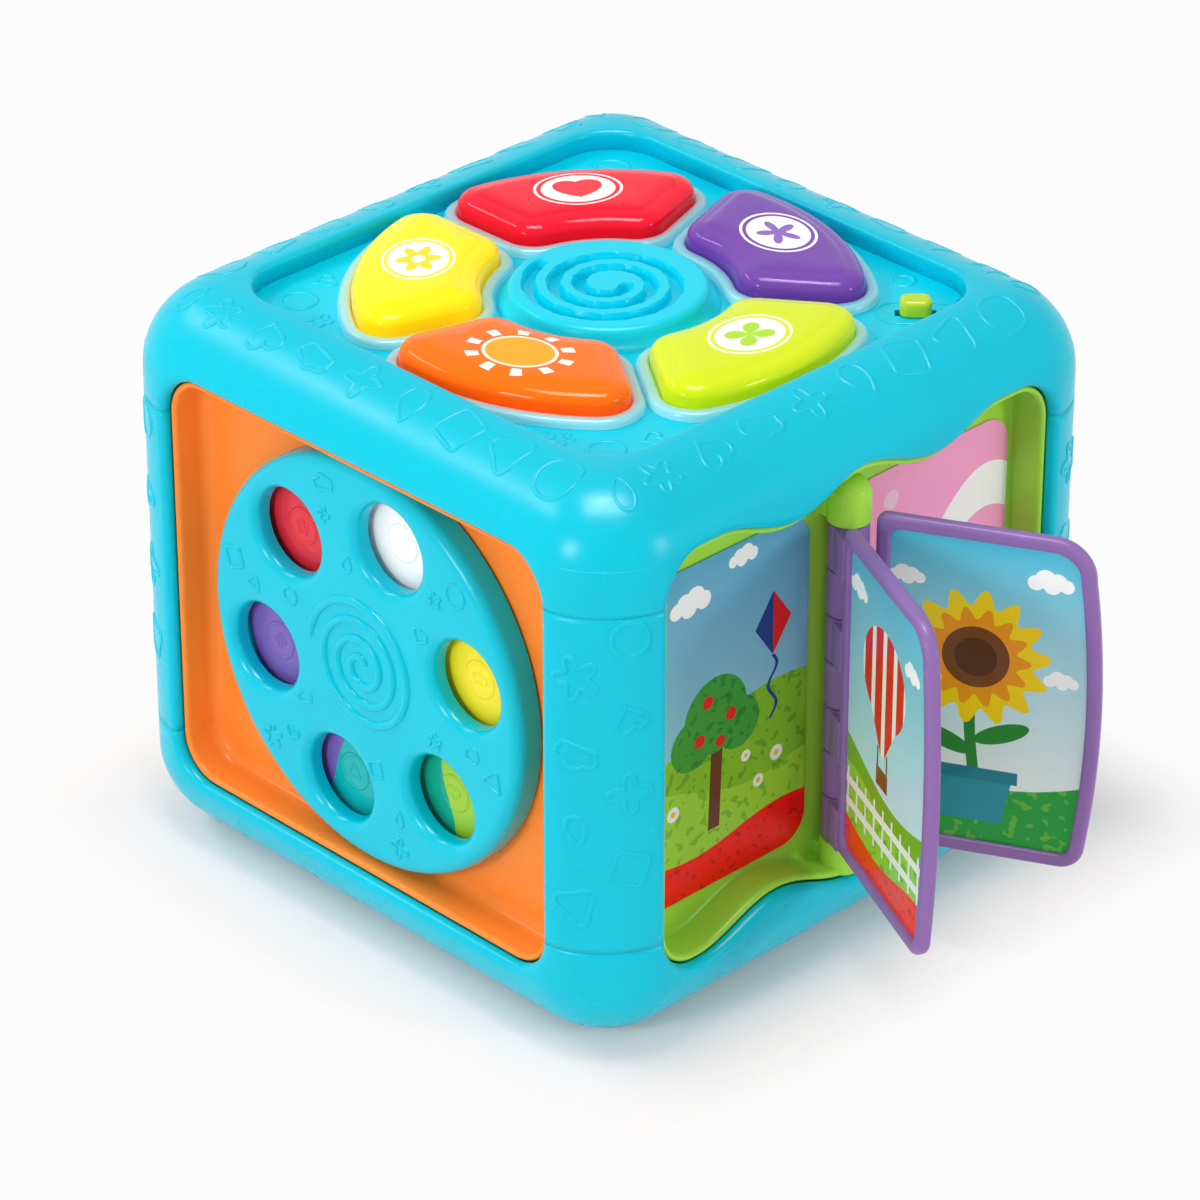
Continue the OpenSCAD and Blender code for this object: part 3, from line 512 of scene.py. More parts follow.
def casing_at(s, t, lift=0.0):
    """The point of the casing at s and t, raised along the skin's normal."""
    s, t = np.broadcast_arrays(np.asarray(s, float), np.asarray(t, float))
    side = np.floor(s / PITCH + 0.5)
    u = s - side * PITCH
    lean = np.sign(u) * np.clip(np.abs(u) - FLAT, 0, None) / CORNER
    roll = np.clip(t, 0, ROLL_L) / ROLL + np.clip(t - LOW_ROLL, 0, ROLL_L) / ROLL
    reach = CORNER - ROLL * (1 - np.sin(roll)) + lift * np.sin(roll)
    x = np.clip(u, -FLAT, FLAT) + reach * np.sin(lean)
    y = -FLAT - reach * np.cos(lean)
    z = HIGH - ROLL - np.clip(t - ROLL_L, 0, LOW_ROLL - ROLL_L) + (ROLL + lift) * np.cos(roll)
    turn = side * math.pi / 2
    return np.stack([x * np.cos(turn) - y * np.sin(turn), x * np.sin(turn) + y * np.cos(turn), z], -1)


def skin_t(z):
    """The t of a height on the upright part of the skin."""
    return ROLL_L + HIGH - ROLL - z


def casing_map(x, z):
    """The s, from a side's middle, and t of the skin in front of a point of that side."""
    top = np.arccos(np.clip((z - HIGH + ROLL) / ROLL, 0, 1))
    low = np.arccos(np.clip((ROLL - z) / ROLL, 0, 1))
    t = np.where(z > HIGH - ROLL, ROLL * top, np.where(z < ROLL, LOW_ROLL + ROLL_L - ROLL * low, skin_t(z)))
    reach = CORNER - ROLL * (1 - np.sin(np.minimum(top, low)))
    lean = np.arcsin(np.clip((np.abs(x) - FLAT) / reach, 0, 1))
    return np.stack([np.sign(x) * (np.minimum(np.abs(x), FLAT) + CORNER * lean), t], 1)


def inward(side):
    """Unit vector from a side into the casing."""
    return turned([0, 1, 0], side)


print("Casing", 2 * HALF, "mm wide and", HIGH, "mm high")

# %% The windows' outlines
DIAL_SIDE, BOOK_SIDE, GEAR_SIDE, CLOCK_SIDE = range(4)
WINDOW_HALF, WINDOW_LOW, WINDOW_HIGH, WINDOW_CORNER = 75.5, 22.5, 152.5, 13.0
WINDOW_MID = (WINDOW_LOW + WINDOW_HIGH) / 2
WINDOW_REACH = WINDOW_HALF - WINDOW_CORNER
EDGE_STEPS, CORNER_STEPS = 60, 12
SEAM = 0.12
# Which way an edge faces, its level, its wave's height and pitch on the book's side, and its first angle
HEAD = (1, WINDOW_HIGH, 6.5, WINDOW_REACH - 8, 0)
SILL = (-1, WINDOW_LOW, 8.0, WINDOW_REACH - 1, 180)


def window_edge(edge, grow, side):
    """A window's head, from right to left, or its sill, from left to right, grown outwards."""
    up, level, swing, pitch, start = edge
    x = up * np.linspace(WINDOW_REACH, -WINDOW_REACH, EDGE_STEPS)[1:-1]
    waves = (np.abs(x) < pitch) & (side == BOOK_SIDE)
    dip = np.where(waves, swing * (1 - np.cos(2 * math.pi * x / pitch)) / 2, 0)
    seam, radius = level - up * WINDOW_CORNER, WINDOW_CORNER + grow
    return np.concatenate([
        arc(up * WINDOW_REACH, seam, radius, start, start + 90, CORNER_STEPS),
        np.stack([x, level + up * (grow - dip)], 1),
        arc(-up * WINDOW_REACH, seam, radius, start + 90, start + 180, CORNER_STEPS)])


def seam_level(edge):
    """The height at which a frame ends beside its windows, half a seam short of the posts."""
    up, level = edge[:2]
    return level - up * (WINDOW_CORNER - SEAM / 2)


print("Posts from", round(seam_level(SILL), 1), "to", round(seam_level(HEAD), 1), "mm")

# %% Frames and posts
MOUTH, MOUTH_DEPTH = 2.6, 4.2
MOUTH_PROFILE = quarter_round(MOUTH, 6) + [(0.0, MOUTH_DEPTH)]
SKIN_T = 1.8
QUARTER_STEPS, POST_STEPS = 72, 5
MESH_STEP = 2.6


def casing_band(skin, side, edge, t_row, row):
    """The skin between a row of the rolled edge and a window's edge, with the posts' seams beside it."""
    up, seam = edge[0], seam_level(edge)
    place = lambda p, depth=0.0: casing_at(side * PITCH + p[:, 0], p[:, 1]) + inward(side) * depth
    spots = []
    for grow, _ in MOUTH_PROFILE:
        x, z = window_edge(edge, grow, side).T
        spots.append(casing_map(x, up * np.maximum(up * z, up * seam)))
    made = skin.loft([place(spot, depth) for spot, (_, depth) in zip(spots, MOUTH_PROFILE)], closed=False)
    mouth, half = spots[0], up * PITCH / 2
    start, end = (half, skin_t(seam)), (-half, skin_t(seam))
    before = np.concatenate([np.linspace((half, t_row), start, POST_STEPS + 1)[1:],
                             np.linspace(start, mouth[0], POST_STEPS + 1)[1:-1]])
    after = np.concatenate([np.linspace(mouth[-1], end, POST_STEPS + 1)[1:-1],
                            np.linspace(end, (-half, t_row), POST_STEPS + 1)[:-1]])
    rolled = np.linspace((-half, t_row), (half, t_row), QUARTER_STEPS + 1)
    loop = np.concatenate([rolled, before, mouth, after])
    index = row[::up] + skin.ring(place(before)) + made[0] + skin.ring(place(after))
    skin.fill([(loop, index)], place, MESH_STEP)


def rolled_rows(skin, side, t_values):
    """Even rows of the skin along one side."""
    s = side * PITCH + np.linspace(-PITCH / 2, PITCH / 2, QUARTER_STEPS + 1)
    return skin.loft([casing_at(s, t) for t in t_values], closed=False)


def crown(points):
    """The rolled rim's height above a point of the plan."""
    over = np.abs(points) - FLAT
    inset = CORNER - np.hypot(*np.clip(over, 0, None).T) - np.minimum(over.max(1), 0)
    lean = ROLL - np.minimum(inset, ROLL)
    return HIGH - ROLL + np.sqrt(ROLL ** 2 - lean ** 2)


RECESS_HALF, RECESS_CORNER, RECESS_LIP = 74.5, 16.0, 1.6
PANEL_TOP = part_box("top_panel")[1].z / MM
PANEL_LAP = 1.0
RIM_ROWS = np.linspace(ROLL * math.radians(14), ROLL * math.radians(62), 16)
top_skin = Skin()
rim_ring = []
for side in range(4):
    rows = rolled_rows(top_skin, side, RIM_ROWS)
    rim_ring += rows[0][:-1]
    casing_band(top_skin, side, HEAD, RIM_ROWS[-1], rows[-1])
recess = even(round_rect(0, 0, RECESS_HALF, RECESS_HALF, RECESS_CORNER), MESH_STEP)
lip_top = crown(grown(recess, RECESS_LIP))
lip_profile = [(inset, lip_top - depth) for inset, depth in quarter_round(RECESS_LIP, 6)]
lip = top_skin.sweep(recess, [*lip_profile, (0, PANEL_TOP - PANEL_LAP)], upright)[0]
top_skin.fill([top_skin.border(rim_ring), lip], lambda p: upright(p, crown(p)), MESH_STEP)
build("casing_top", top_skin, teal_casing, "casing", "teal_plastic", ["top_frame"], SKIN_T)

# %% The base
WELL_R, WELL_AT, WELL_HIGH, WELL_LIP = 3.7, 76.0, 29.5, 0.8
DOOR_FIT, DOOR_CORNER, DOOR_LIP, DOOR_DEPTH = 0.3, 2.0, 0.6, 3.0
BASE_STEP = 4.0
BASE_ROWS = np.linspace(LOW_ROLL + ROLL * math.radians(24), LOW_ROLL + ROLL_L - ROLL * math.radians(21), 14)
door_low, door_high = (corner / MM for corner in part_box("battery_door"))
door_middle, door_half = (door_low + door_high) / 2, (door_high - door_low) / 2
door = round_rect(door_middle.x, door_middle.y, door_half.x + DOOR_FIT, door_half.y + DOOR_FIT, DOOR_CORNER)
holes = [(even(door, 3), DOOR_LIP, DOOR_DEPTH)]
for i, j in ((-1, -1), (-1, 1), (1, -1), (1, 1)):
    holes.append((circle(i * WELL_AT, j * WELL_AT, WELL_R, 32), WELL_LIP, WELL_HIGH))
base_skin = Skin()
base_ring = []
for side in range(4):
    rows = rolled_rows(base_skin, side, BASE_ROWS)
    base_ring += rows[-1][:-1]
    casing_band(base_skin, side, SILL, BASE_ROWS[0], rows[0])
borders = [base_skin.border(base_ring)]
for loop, lip_r, depth in holes:
    mouth_z = HIGH - crown(grown(loop, lip_r))
    profile = [(inset, mouth_z + deep) for inset, deep in quarter_round(lip_r, 4)]
    borders.append(base_skin.sweep(loop, [*profile, (0, depth)], upright)[0])
base_skin.fill(borders, lambda p: upright(p, HIGH - crown(p)), BASE_STEP)
build("casing_base", base_skin, teal_casing, "casing", "teal_plastic", ["bottom_frame"], SKIN_T)

# %% The corner posts
POST_NODES = ["post_front", "post_right", "post_back", "post_left"]
POST_COLUMNS, POST_ROWS = 15, 42
post_z = np.linspace(seam_level(SILL) + SEAM, seam_level(HEAD) - SEAM, POST_ROWS)


def post_edge(side, sign):
    """Columns of the skin round an upright edge of a window and down its wall."""
    columns = []
    for grow, depth in MOUTH_PROFILE:
        u = casing_map(np.full(POST_ROWS, sign * (WINDOW_HALF + grow)), post_z)[:, 0]
        columns.append(casing_at(side * PITCH + u, skin_t(post_z)) + inward(side) * depth)
    return columns


edge_u = casing_map(np.array([WINDOW_HALF + MOUTH]), np.array([WINDOW_MID]))[0, 0]
for side, node in enumerate(POST_NODES):
    round_corner = side * PITCH + np.linspace(edge_u, PITCH - edge_u, POST_COLUMNS)[1:-1]
    columns = post_edge(side, 1)[::-1] + [casing_at(s, skin_t(post_z)) for s in round_corner]
    post_skin = Skin()
    post_skin.loft(columns + post_edge(side + 1, -1), closed=False)
    build("casing_" + node, post_skin, teal_casing, "casing", "teal_plastic", [node], SKIN_T)

# %% [markdown]
# ## Light
# The picture is high-key: a white surround lights every side, two low softboxes stand left and right of the
# camera and leave a soft spot each on the near corner, a small one hangs overhead, and a long strip on the
# far left draws a pale band along the rolled edge. A wide softbox overhead shows in gloss alone and draws the
# bands on the keys' shoulders. The floor keeps the soft shadow close round the toy, and fades into the white
# behind it, so no edge shows.

# %% Lamps, surround and floor
LAMP_TARGET = Vector((0, 0, 0.09))
LAMPS = {"left_softbox": (6, 22, 1.35, (0.3, 0.3), 5.4), "right_softbox": (110, 16, 1.5, (0.28, 0.28), 4.3),
         "edge_strip": (-60, 42, 1.35, (0.8, 0.13), 4.4), "top_softbox": (20, 82, 1.4, (0.26, 0.26), 3.4),
         "gloss_softbox": (45, 80, 1.4, (0.9, 0.6), 30.0)}
GLOSS_ONLY = "gloss_softbox"
for name, (turn, rise, away, size, power) in LAMPS.items():
    lamp = bpy.data.objects.new(name, bpy.data.lights.new(name, "AREA"))
    lamp.data.shape = "RECTANGLE"
    lamp.data.size, lamp.data.size_y = size
    lamp.data.energy = power
    lamp.visible_diffuse = name != GLOSS_ONLY
    aim(lamp, LAMP_TARGET, turn, rise, away)


def seen_rays(tree):
    """1 for what the camera, a gloss or a clear piece shows, 0 for light that falls on a surface."""
    rays = tree.nodes.new("ShaderNodeLightPath")
    camera_ray, glossy, through = (
        Wire(tree, rays.outputs[ray]) for ray in ("Is Camera Ray", "Is Glossy Ray", "Is Transmission Ray"))
    return camera_ray | glossy | through


SURROUND_LIGHT, SURROUND_WHITE = 0.6, 0.972
scene.view_settings.view_transform = "Standard"
scene.world = bpy.data.worlds.new("surround")
scene.world.use_nodes = True
surround = scene.world.node_tree.nodes["Background"]
surround.inputs["Color"].default_value = (1, 1, 1, 1)
level = seen_rays(scene.world.node_tree) * (SURROUND_WHITE - SURROUND_LIGHT) + SURROUND_LIGHT
level.into(surround, "Strength")

FLOOR_HALF = 1.6
FLOOR_FADE = (-0.012, 0.046)
floor_mesh = bpy.data.meshes.new("floor")
floor_corners = [(i * FLOOR_HALF, j * FLOOR_HALF, 0) for i, j in ((-1, -1), (1, -1), (1, 1), (-1, 1))]
floor_mesh.from_pydata(floor_corners, [], [(0, 1, 2, 3)])
floor = bpy.data.objects.new("floor", floor_mesh)
scene.collection.objects.link(floor)
pale = bpy.data.materials.new("pale_floor")
pale.use_nodes = True
floor_tree = pale.node_tree
floor_shader = floor_tree.nodes["Principled BSDF"]
floor_shader.inputs["Base Color"].default_value = tone("faeeec")
floor_shader.inputs["Roughness"].default_value = 0.9
floor_shader.inputs["Specular IOR Level"].default_value = 0.1
floor_place = Wire(floor_tree, floor_tree.nodes.new("ShaderNodeTexCoord").outputs["Object"])
floor_x, floor_y, _ = floor_place.parts()
outside = floor_place.plane((abs(floor_x) - HALF * MM) | 0.0, (abs(floor_y) - HALF * MM) | 0.0)
away = outside.add("ShaderNodeVectorMath", {"operation": "LENGTH"}, {0: outside}, out="Value")
clear = floor_tree.nodes.new("ShaderNodeBsdfTransparent")
ground = away.add("ShaderNodeMixShader", {}, {
    0: away.soft_step(*FLOOR_FADE) & seen_rays(floor_tree), 1: Wire(floor_tree, floor_shader.outputs[0]),
    2: Wire(floor_tree, clear.outputs[0])})
ground.into(floor_tree.nodes["Material Output"], "Surface")
floor_mesh.materials.append(pale)
print("Lamps:", len(LAMPS))

# %% [markdown]
# ## Keys
# Five glossy keys stand round the hub. Each is a ring sector with round corners, a soft shoulder and a faint
# crease round its flat top. Scaling a sector inwards would squeeze its corners, so each ring of the loft
# keeps the corners' centres and changes their radius, which keeps the margin even. A weak painted glow in
# each key's own colour keeps its shaded walls bright, and painted shade darkens the colour of the lower
# walls.

# %% Key outlines
KEY_TURN, KEY_SECTOR = -71.0, 72.0
KEY_IN, KEY_OUT, KEY_GAP, KEY_CORNER = 35.8, 71.4, 8.4, 9.0
KEY_MID = (KEY_IN + KEY_OUT) / 2
KEY_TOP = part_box("button_orange")[1].z / MM


def key_outline(grow):
    """A key's outline with its middle on +X, grown outwards."""
    side = KEY_SECTOR / 2
    off, far, near = KEY_GAP / 2 + KEY_CORNER, KEY_OUT - KEY_CORNER, KEY_IN + KEY_CORNER
    a = side - math.degrees(math.asin(off / far))
    b = side - math.degrees(math.asin(off / near))
    at = lambda reach, angle: (reach * math.cos(math.radians(angle)), reach * math.sin(math.radians(angle)))
    radius = KEY_CORNER + grow
    return np.concatenate([
        arc(*at(far, -a), radius, -side - 90, -a, 10), arc(0, 0, KEY_OUT + grow, -a, a, 22)[1:-1],
        arc(*at(far, a), radius, a, side + 90, 10), arc(*at(near, b), radius, side + 90, 180 + b, 10),
        arc(0, 0, KEY_IN - grow, b, -b, 10)[1:-1], arc(*at(near, -b), radius, 180 - b, 270 - side, 10)])


def key_angle(index):
    return math.radians(KEY_TURN + index * KEY_SECTOR)


print("Key tops at", round(KEY_TOP, 1), "mm")

# %% Key prints
MEDAL_R, MEDAL_IN, MEDAL_OUT, STAR_OUT = 8.6, 9.6, 10.3, 10.4
SUN_R, SUN_RING, SUN_RAYS = 7.9, (7.9, 8.7), (9.6, 12.6)


def polar(u, v):
    """Distance and direction of a picture's point from its middle."""
    return (u * u + v * v) ** 0.5, v.math("ARCTAN2", v, u)


def medal(r, motif, out=MEDAL_OUT):
    """A white disc that leaves a motif free, inside a thin white ring."""
    return (r < MEDAL_R) & (1 - motif) | r.between(MEDAL_IN, out), motif


def sun_print(u, v):
    r, a = polar(u, v)
    rays = (abs((a * 5.0).sine()) < 0.55) & r.between(*SUN_RAYS)
    return rays | r.between(*SUN_RING), r < SUN_R


def clover_print(u, v):
    r, a = polar(u, v)
    return medal(r, r < abs((a * 2.0).sine()) ** 0.6 * 6.2)


def star_print(u, v):
    r, a = polar(u, v)
    return medal(r, r < ((a * 5.0 + math.pi / 2).sine() + 1.9) * 2.1, STAR_OUT)


def heart_print(u, v):
    r, _ = polar(u, v)
    x, y = u / 5.0, v / 5.0 + 0.15
    bulge = x * x + y * y - 1.0
    return medal(r, bulge * bulge * bulge - x * x * y * y * y < 0.0)


def flower_print(u, v):
    r, a = polar(u, v)
    return medal(r, (r < ((a * 6.0).sine() + 3.4) * 1.45) & (r > 1.9))


# Each key's colour, the darker colour of its painted wall shade, its print and the colour of the print's
# motif
KEYS = {"orange": ("fd6c00", "fb4c00", sun_print, "f5a800"),
        "lime": ("cbdc18", "b6d400", clover_print, "9ed22c"),
        "purple": ("6e42a0", "583294", star_print, "8a63b8"),
        "red": ("f21430", "dc0012", heart_print, "e62e3c"),
        "yellow": ("fddf0a", "f8c800", flower_print, "f7d21a")}
KEY_ASPECT = 1.25
SHADE_FROM, SHADE_TO, PRINT_DEPTH = 1.5, 6.5, 1.2
PRINT_WHITE = tone("fbfbf4")


def key_paint(angle, deep, picture, ink):
    """Walls with painted shade that darkens downwards, and a top with a white print round a coloured motif.
    """
    def paint(place, base):
        x, y, z = place.parts()
        # Painted shade: the wall's colour turns darker towards its foot, where the collar shades it.
        wall = z.soft_step((KEY_TOP - SHADE_FROM) * MM, (KEY_TOP - SHADE_TO) * MM)
        base = wall.over(base, tone(deep))
        out = (x * math.cos(angle) + y * math.sin(angle)) / MM - KEY_MID
        along = (y * math.cos(angle) - x * math.sin(angle)) / MM
        on_top = z > (KEY_TOP - PRINT_DEPTH) * MM
        white, motif = picture(along / KEY_ASPECT, out)
        printed = (white & on_top).over(base, PRINT_WHITE)
        return (motif & on_top).over(printed, tone(ink))
    return paint


print("Key prints:", len(KEYS))

# %% Build the keys
# Painted glow: an emission in each key's own colour that keeps its shaded walls bright; the keys are no
# lamps.
KEY_PAINTED_GLOW = 0.2
KEY_RINGS = [(0, -13), (0, -4.9), (-0.12, -4.1), (-0.45, -3.3), (-1.0, -2.5), (-1.8, -1.85), (-2.8, -1.38),
             (-3.9, -1.08), (-4.7, -0.94), (-5.2, -0.82), (-5.6, -0.62), (-6.1, -0.42), (-6.8, -0.26),
             (-7.6, -0.14), (-8.4, -0.06)]
for index, (name, (colour, deep, picture, ink)) in enumerate(KEYS.items()):
    skin = Skin()
    flats = [spun(key_outline(grow), key_angle(index)) for grow, _ in KEY_RINGS]
    rings = skin.loft([upright(flat, KEY_TOP + drop) for flat, (_, drop) in zip(flats, KEY_RINGS)])
    skin.fill([(flats[-1], rings[-1])], lambda p: upright(p, KEY_TOP), 3.0)
    skin.fill([(flats[0], rings[0])], lambda p: upright(p, KEY_TOP + KEY_RINGS[0][1]), 6.0)
    glossy = moulded(name + "_key", colour, rough=0.2, coat=0.26, gloss=0.1, peel=0.06,
                     paint=key_paint(key_angle(index), deep, picture, ink), Specular_Tint=tone(colour),
                     Emission_Color=tone(colour), Emission_Strength=KEY_PAINTED_GLOW)
    build("key_" + name, skin, glossy, name + "_key", name + "_plastic", ["button_" + name])

# %% [markdown]
# ## Collars
# A frosted rim stands round each key. It is one clear moulding under the panel. Its colour is that of clear
# plastic over teal, with a little of the key's own colour near its inner edge as painted light from the key,
# so each point carries a tint that the finish reads. A weak emission in the frost's colour is a painted glow.

# %% Build the collars
COLLAR_FIT, COLLAR_OUT = 0.2, 3.7
COLLAR_TOP = PANEL_TOP + 2.6
COLLAR_RINGS = [(2.4, -4.8), (2.4, -2.5), (COLLAR_OUT + 0.4, -2.5), (COLLAR_OUT + 0.2, -1.4),
                (COLLAR_OUT, -0.85), (COLLAR_OUT - 0.3, -0.4), (COLLAR_OUT - 0.7, -0.13),
                (COLLAR_OUT - 1.2, 0), (1.2, 0), (0.8, -0.1), (0.5, -0.4), (COLLAR_FIT, -0.9),
                (COLLAR_FIT, -4.8), (2.4, -4.8)]
FROST = "94e3ee"
KEY_LIGHT_SHARE = 0.5


def tinted(place, base):
    """The tint that each point carries: the frost's colour, with the key's colour as painted light near the
    inner edge.
    """
    return place.add("ShaderNodeAttribute", {"attribute_name": "tint"}, {}, out="Color")


def point_key(point):
    """A point in metres, as a key that small errors don't change."""
    return tuple(np.round(np.array(point), 6))


# The emission is a painted glow in the frost's colour; the collars are no lamps.
collar_frost = moulded("collar_frost", FROST, rough=0.3, coat=0.2, gloss=0.3, paint=tinted,
                       Transmission_Weight=0.1, Emission_Color=tone(FROST), Emission_Strength=0.06)
collar_skin = Skin()
tint_of = {}
for index, (colour, *_) in enumerate(KEYS.values()):
    angle = key_angle(index)
    rings = [upright(spun(key_outline(grow), angle), COLLAR_TOP + drop) for grow, drop in COLLAR_RINGS]
    made = collar_skin.loft(rings)
    for (grow, _), ring in zip(COLLAR_RINGS, made):
        # Painted light: the key's colour spreads over the collar's inner edge, strongest where it meets the
        # key.
        share = KEY_LIGHT_SHARE * (1 - min(1.0, (grow - COLLAR_FIT) / (COLLAR_OUT - COLLAR_FIT)))
        tint = (1 - share) * np.array(tone(FROST)) + share * np.array(tone(colour))
        tint_of.update({point_key(np.array(collar_skin.points[i]) * MM): tint for i in ring})
collars = build("collars", collar_skin, collar_frost, "casing", "frosted_clear", ["light_collars"])
tints = collars.data.attributes.new("tint", "FLOAT_COLOR", "POINT")
for vertex, tint in zip(collars.data.vertices, tints.data):
    tint.color = tuple(tint_of.get(point_key(vertex.co), tone(FROST)))

# %% [markdown]
# ## Hub
# The round hub covers the loudspeaker. A groove winds over its top from the rim to the middle. Cutting it
# with a boolean leaves sharp edges, so the top is a fine polar grid, and each point sinks by how near it lies
# to the groove's line.

# %% Build the hub
GROOVE_W, GROOVE_D, GROOVE_EDGE = 3.6, 3.0, 0.6
GROOVE_OUT, GROOVE_IN, GROOVE_START, GROOVE_TURNS = 23.0, 5.0, math.radians(192), 2.55
GROOVE_POINTS, HUB_SPOKES = 1200, 300
HUB_PROFILE = [(31.5, 165.5), (31.2, 166.4), (30.2, 167.3), (29.3, 168.2), (28.7, 169.2), (28.3, 170.2),
               (28.0, 170.9), (27.5, 171.5), (26.9, 171.85), (26.2, HIGH)]
HUB_PROFILE += [(r, HIGH) for r in np.arange(25.9, 0.5, -0.45)]
along = np.linspace(0, 1, GROOVE_POINTS)
wound = GROOVE_START + along * GROOVE_TURNS * 2 * math.pi
groove_r = GROOVE_OUT + (GROOVE_IN - GROOVE_OUT) * along
groove = np.stack([groove_r * np.cos(wound), groove_r * np.sin(wound)], 1)


def hub_ring(radius, z):
    """A ring of the hub, sunk where the groove passes."""
    flat = circle(0, 0, radius, HUB_SPOKES)
    near = np.array([np.sqrt(((groove - p) ** 2).sum(1).min()) for p in flat])
    sink = np.clip((GROOVE_W / 2 + GROOVE_EDGE / 2 - near) / GROOVE_EDGE, 0, 1)
    return upright(flat, z - GROOVE_D * sink * sink * (3 - 2 * sink))


hub_skin = Skin()
hub_made = hub_skin.loft([hub_ring(r, z) for r, z in HUB_PROFILE])
hub_skin.faces += [tuple(hub_made[-1]), tuple(hub_made[0][::-1])]
build("hub", hub_skin, teal_lightened, "casing", "teal_plastic", ["hub_cap"])

# %% [markdown]
# ## Switch knob
# A small lime slider switches the toy on. One plate with a wide round along its upper edge makes the block.

# %% Build the knob
KNOB_AT = (64.0, 56.0)
KNOB_TURN = math.radians(45)
KNOB_CLEAR, KNOB_HIGH = 0.3, 5.0


def at_knob(points, z):
    return upright(spun(points, KNOB_TURN) + KNOB_AT, z)


knob_skin = Skin()
rounded_plate(knob_skin, [round_rect(0, 0, 4.5, 3.5, 2.6)], PANEL_TOP + KNOB_CLEAR, PANEL_TOP + KNOB_HIGH,
              at_knob, top=1.7, bottom=0.2, step=1.5, turns=6)
build("knob", knob_skin, lime_knob, "switch_slider", "lime_plastic", ["switch_knob"])
dress("top_panel", teal_lightened)

# %% [markdown]
# ## Trays
# A tray sits behind each window: a round lip, a wall, a round at the foot and a floor. They share one
# function. The foot's round shrinks where a moving disc comes close to the wall.

# %% Build the trays
TRAY_DEPTH, TRAY_FIT, TRAY_IN, TRAY_BACK = 14.5, 0.3, 2.3, 16.5
TRAY_LIP = [(TRAY_FIT, TRAY_BACK), (TRAY_FIT, 4.2), (0.42, 3.55), (0.75, 3.15), (1.2, 3.0), (1.55, 3.1),
            (1.95, 3.45), (2.2, 4.0), (TRAY_IN, 4.7)]
DIAL_R = (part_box("dial")[1].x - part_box("dial")[0].x) / MM / 2
DIAL_CLEAR = 1.0


def on_side(side):
    """Places outlines on a side: x to the right, y up, and a distance out of the skin."""
    return lambda points, out: turned(np.column_stack([
        points[:, 0], -HALF - np.broadcast_to(out, len(points)), points[:, 1]]), side)


def window_loop(side):
    return even(np.concatenate([window_edge(SILL, 0, side), window_edge(HEAD, 0, side)]), 4.0)


def tray(side, foot):
    """The skin of a side's tray; foot gives the round at the floor, one for all or one for each point."""
    skin = Skin()
    place = on_side(side)
    profile = [(-inset, -depth) for inset, depth in TRAY_LIP]
    for inset, depth in quarter_round(1, 5)[::-1]:
        profile.append((-TRAY_IN - foot * inset, foot * depth - TRAY_DEPTH))
    back, floor_edge = skin.sweep(window_loop(side), profile, place)
    skin.fill([floor_edge], lambda p: place(p, -TRAY_DEPTH), 7.0)
    skin.fill([back], lambda p: place(p, -TRAY_BACK), 12.0)
    return skin


from_dial = np.hypot(*(window_loop(DIAL_SIDE) - (0, WINDOW_MID)).T) - TRAY_IN - DIAL_R
dial_tray = tray(DIAL_SIDE, np.clip(from_dial - DIAL_CLEAR, 0.2, 4.0))
build("tray_dial", dial_tray, orange_tray, "casing", "orange_plastic", ["dial_tray"])
build("tray_clock", tray(CLOCK_SIDE, 3.0), yellow_tray, "casing", "yellow_plastic", ["clock_tray"])

# %% [markdown]
# ## Dial
# A thick disc turns in front of six coloured pads. Its finger holes have wide round mouths. The face is
# filled between the circles, and each mouth and the rim are rings.

# %% Build the dial
DIAL_FRONT, DIAL_PLATE, DIAL_BACK, DIAL_RIM, DIAL_CHAMFER = -5.0, 5.5, -14.2, 4.5, 0.6
DIAL_ROUND, DIAL_TURNS = 3.6, 8
FINGER_R, FINGER_LIP, FINGER_PITCH, FINGER_TURN, FINGERS = 13.0, 3.0, 42.4, 15.0, 6
PLATE_BACK = DIAL_FRONT - DIAL_PLATE
front_of_dial = on_side(DIAL_SIDE)
finger_at = arc(0, WINDOW_MID, FINGER_PITCH, FINGER_TURN, FINGER_TURN + 360, FINGERS)[:-1]
dial_skin = Skin()
rim_profile = [(-inset, DIAL_FRONT - depth) for inset, depth in quarter_round(DIAL_ROUND, DIAL_TURNS)]
rim_profile += [(0, DIAL_BACK + DIAL_CHAMFER), (-DIAL_CHAMFER, DIAL_BACK), (-DIAL_RIM, DIAL_BACK),
                (-DIAL_RIM, PLATE_BACK)]
finger_profile = [(inset, DIAL_FRONT - depth) for inset, depth in quarter_round(FINGER_LIP, DIAL_TURNS)]
finger_profile.append((0, PLATE_BACK))
ends = [dial_skin.sweep(circle(0, WINDOW_MID, DIAL_R, 160), rim_profile, front_of_dial)]
ends += [dial_skin.sweep(circle(x, y, FINGER_R), finger_profile, front_of_dial) for x, y in finger_at]
face_borders, back_borders = zip(*ends)
dial_skin.fill(face_borders, lambda p: front_of_dial(p, DIAL_FRONT), 3.5)
dial_skin.fill(back_borders, lambda p: front_of_dial(p, PLATE_BACK), 6.0)
build("dial_disc", dial_skin, teal_dial, "dial_body", "teal_plastic", ["dial"])

# %% The coloured pads
PADS = {"yellow": "fbe72c", "white": "fdfdfd", "red": "e2303f", "purple": "7a62b4", "teal": "0cb4b4",
        "green": "9ccc38"}
# A second tone, how far from the pad's middle it ends, and how much its edge slants
PAD_SPLIT = {"teal": ("7a62b4", -7.5, 0.66), "green": ("12a88a", -3.2, 0.0)}


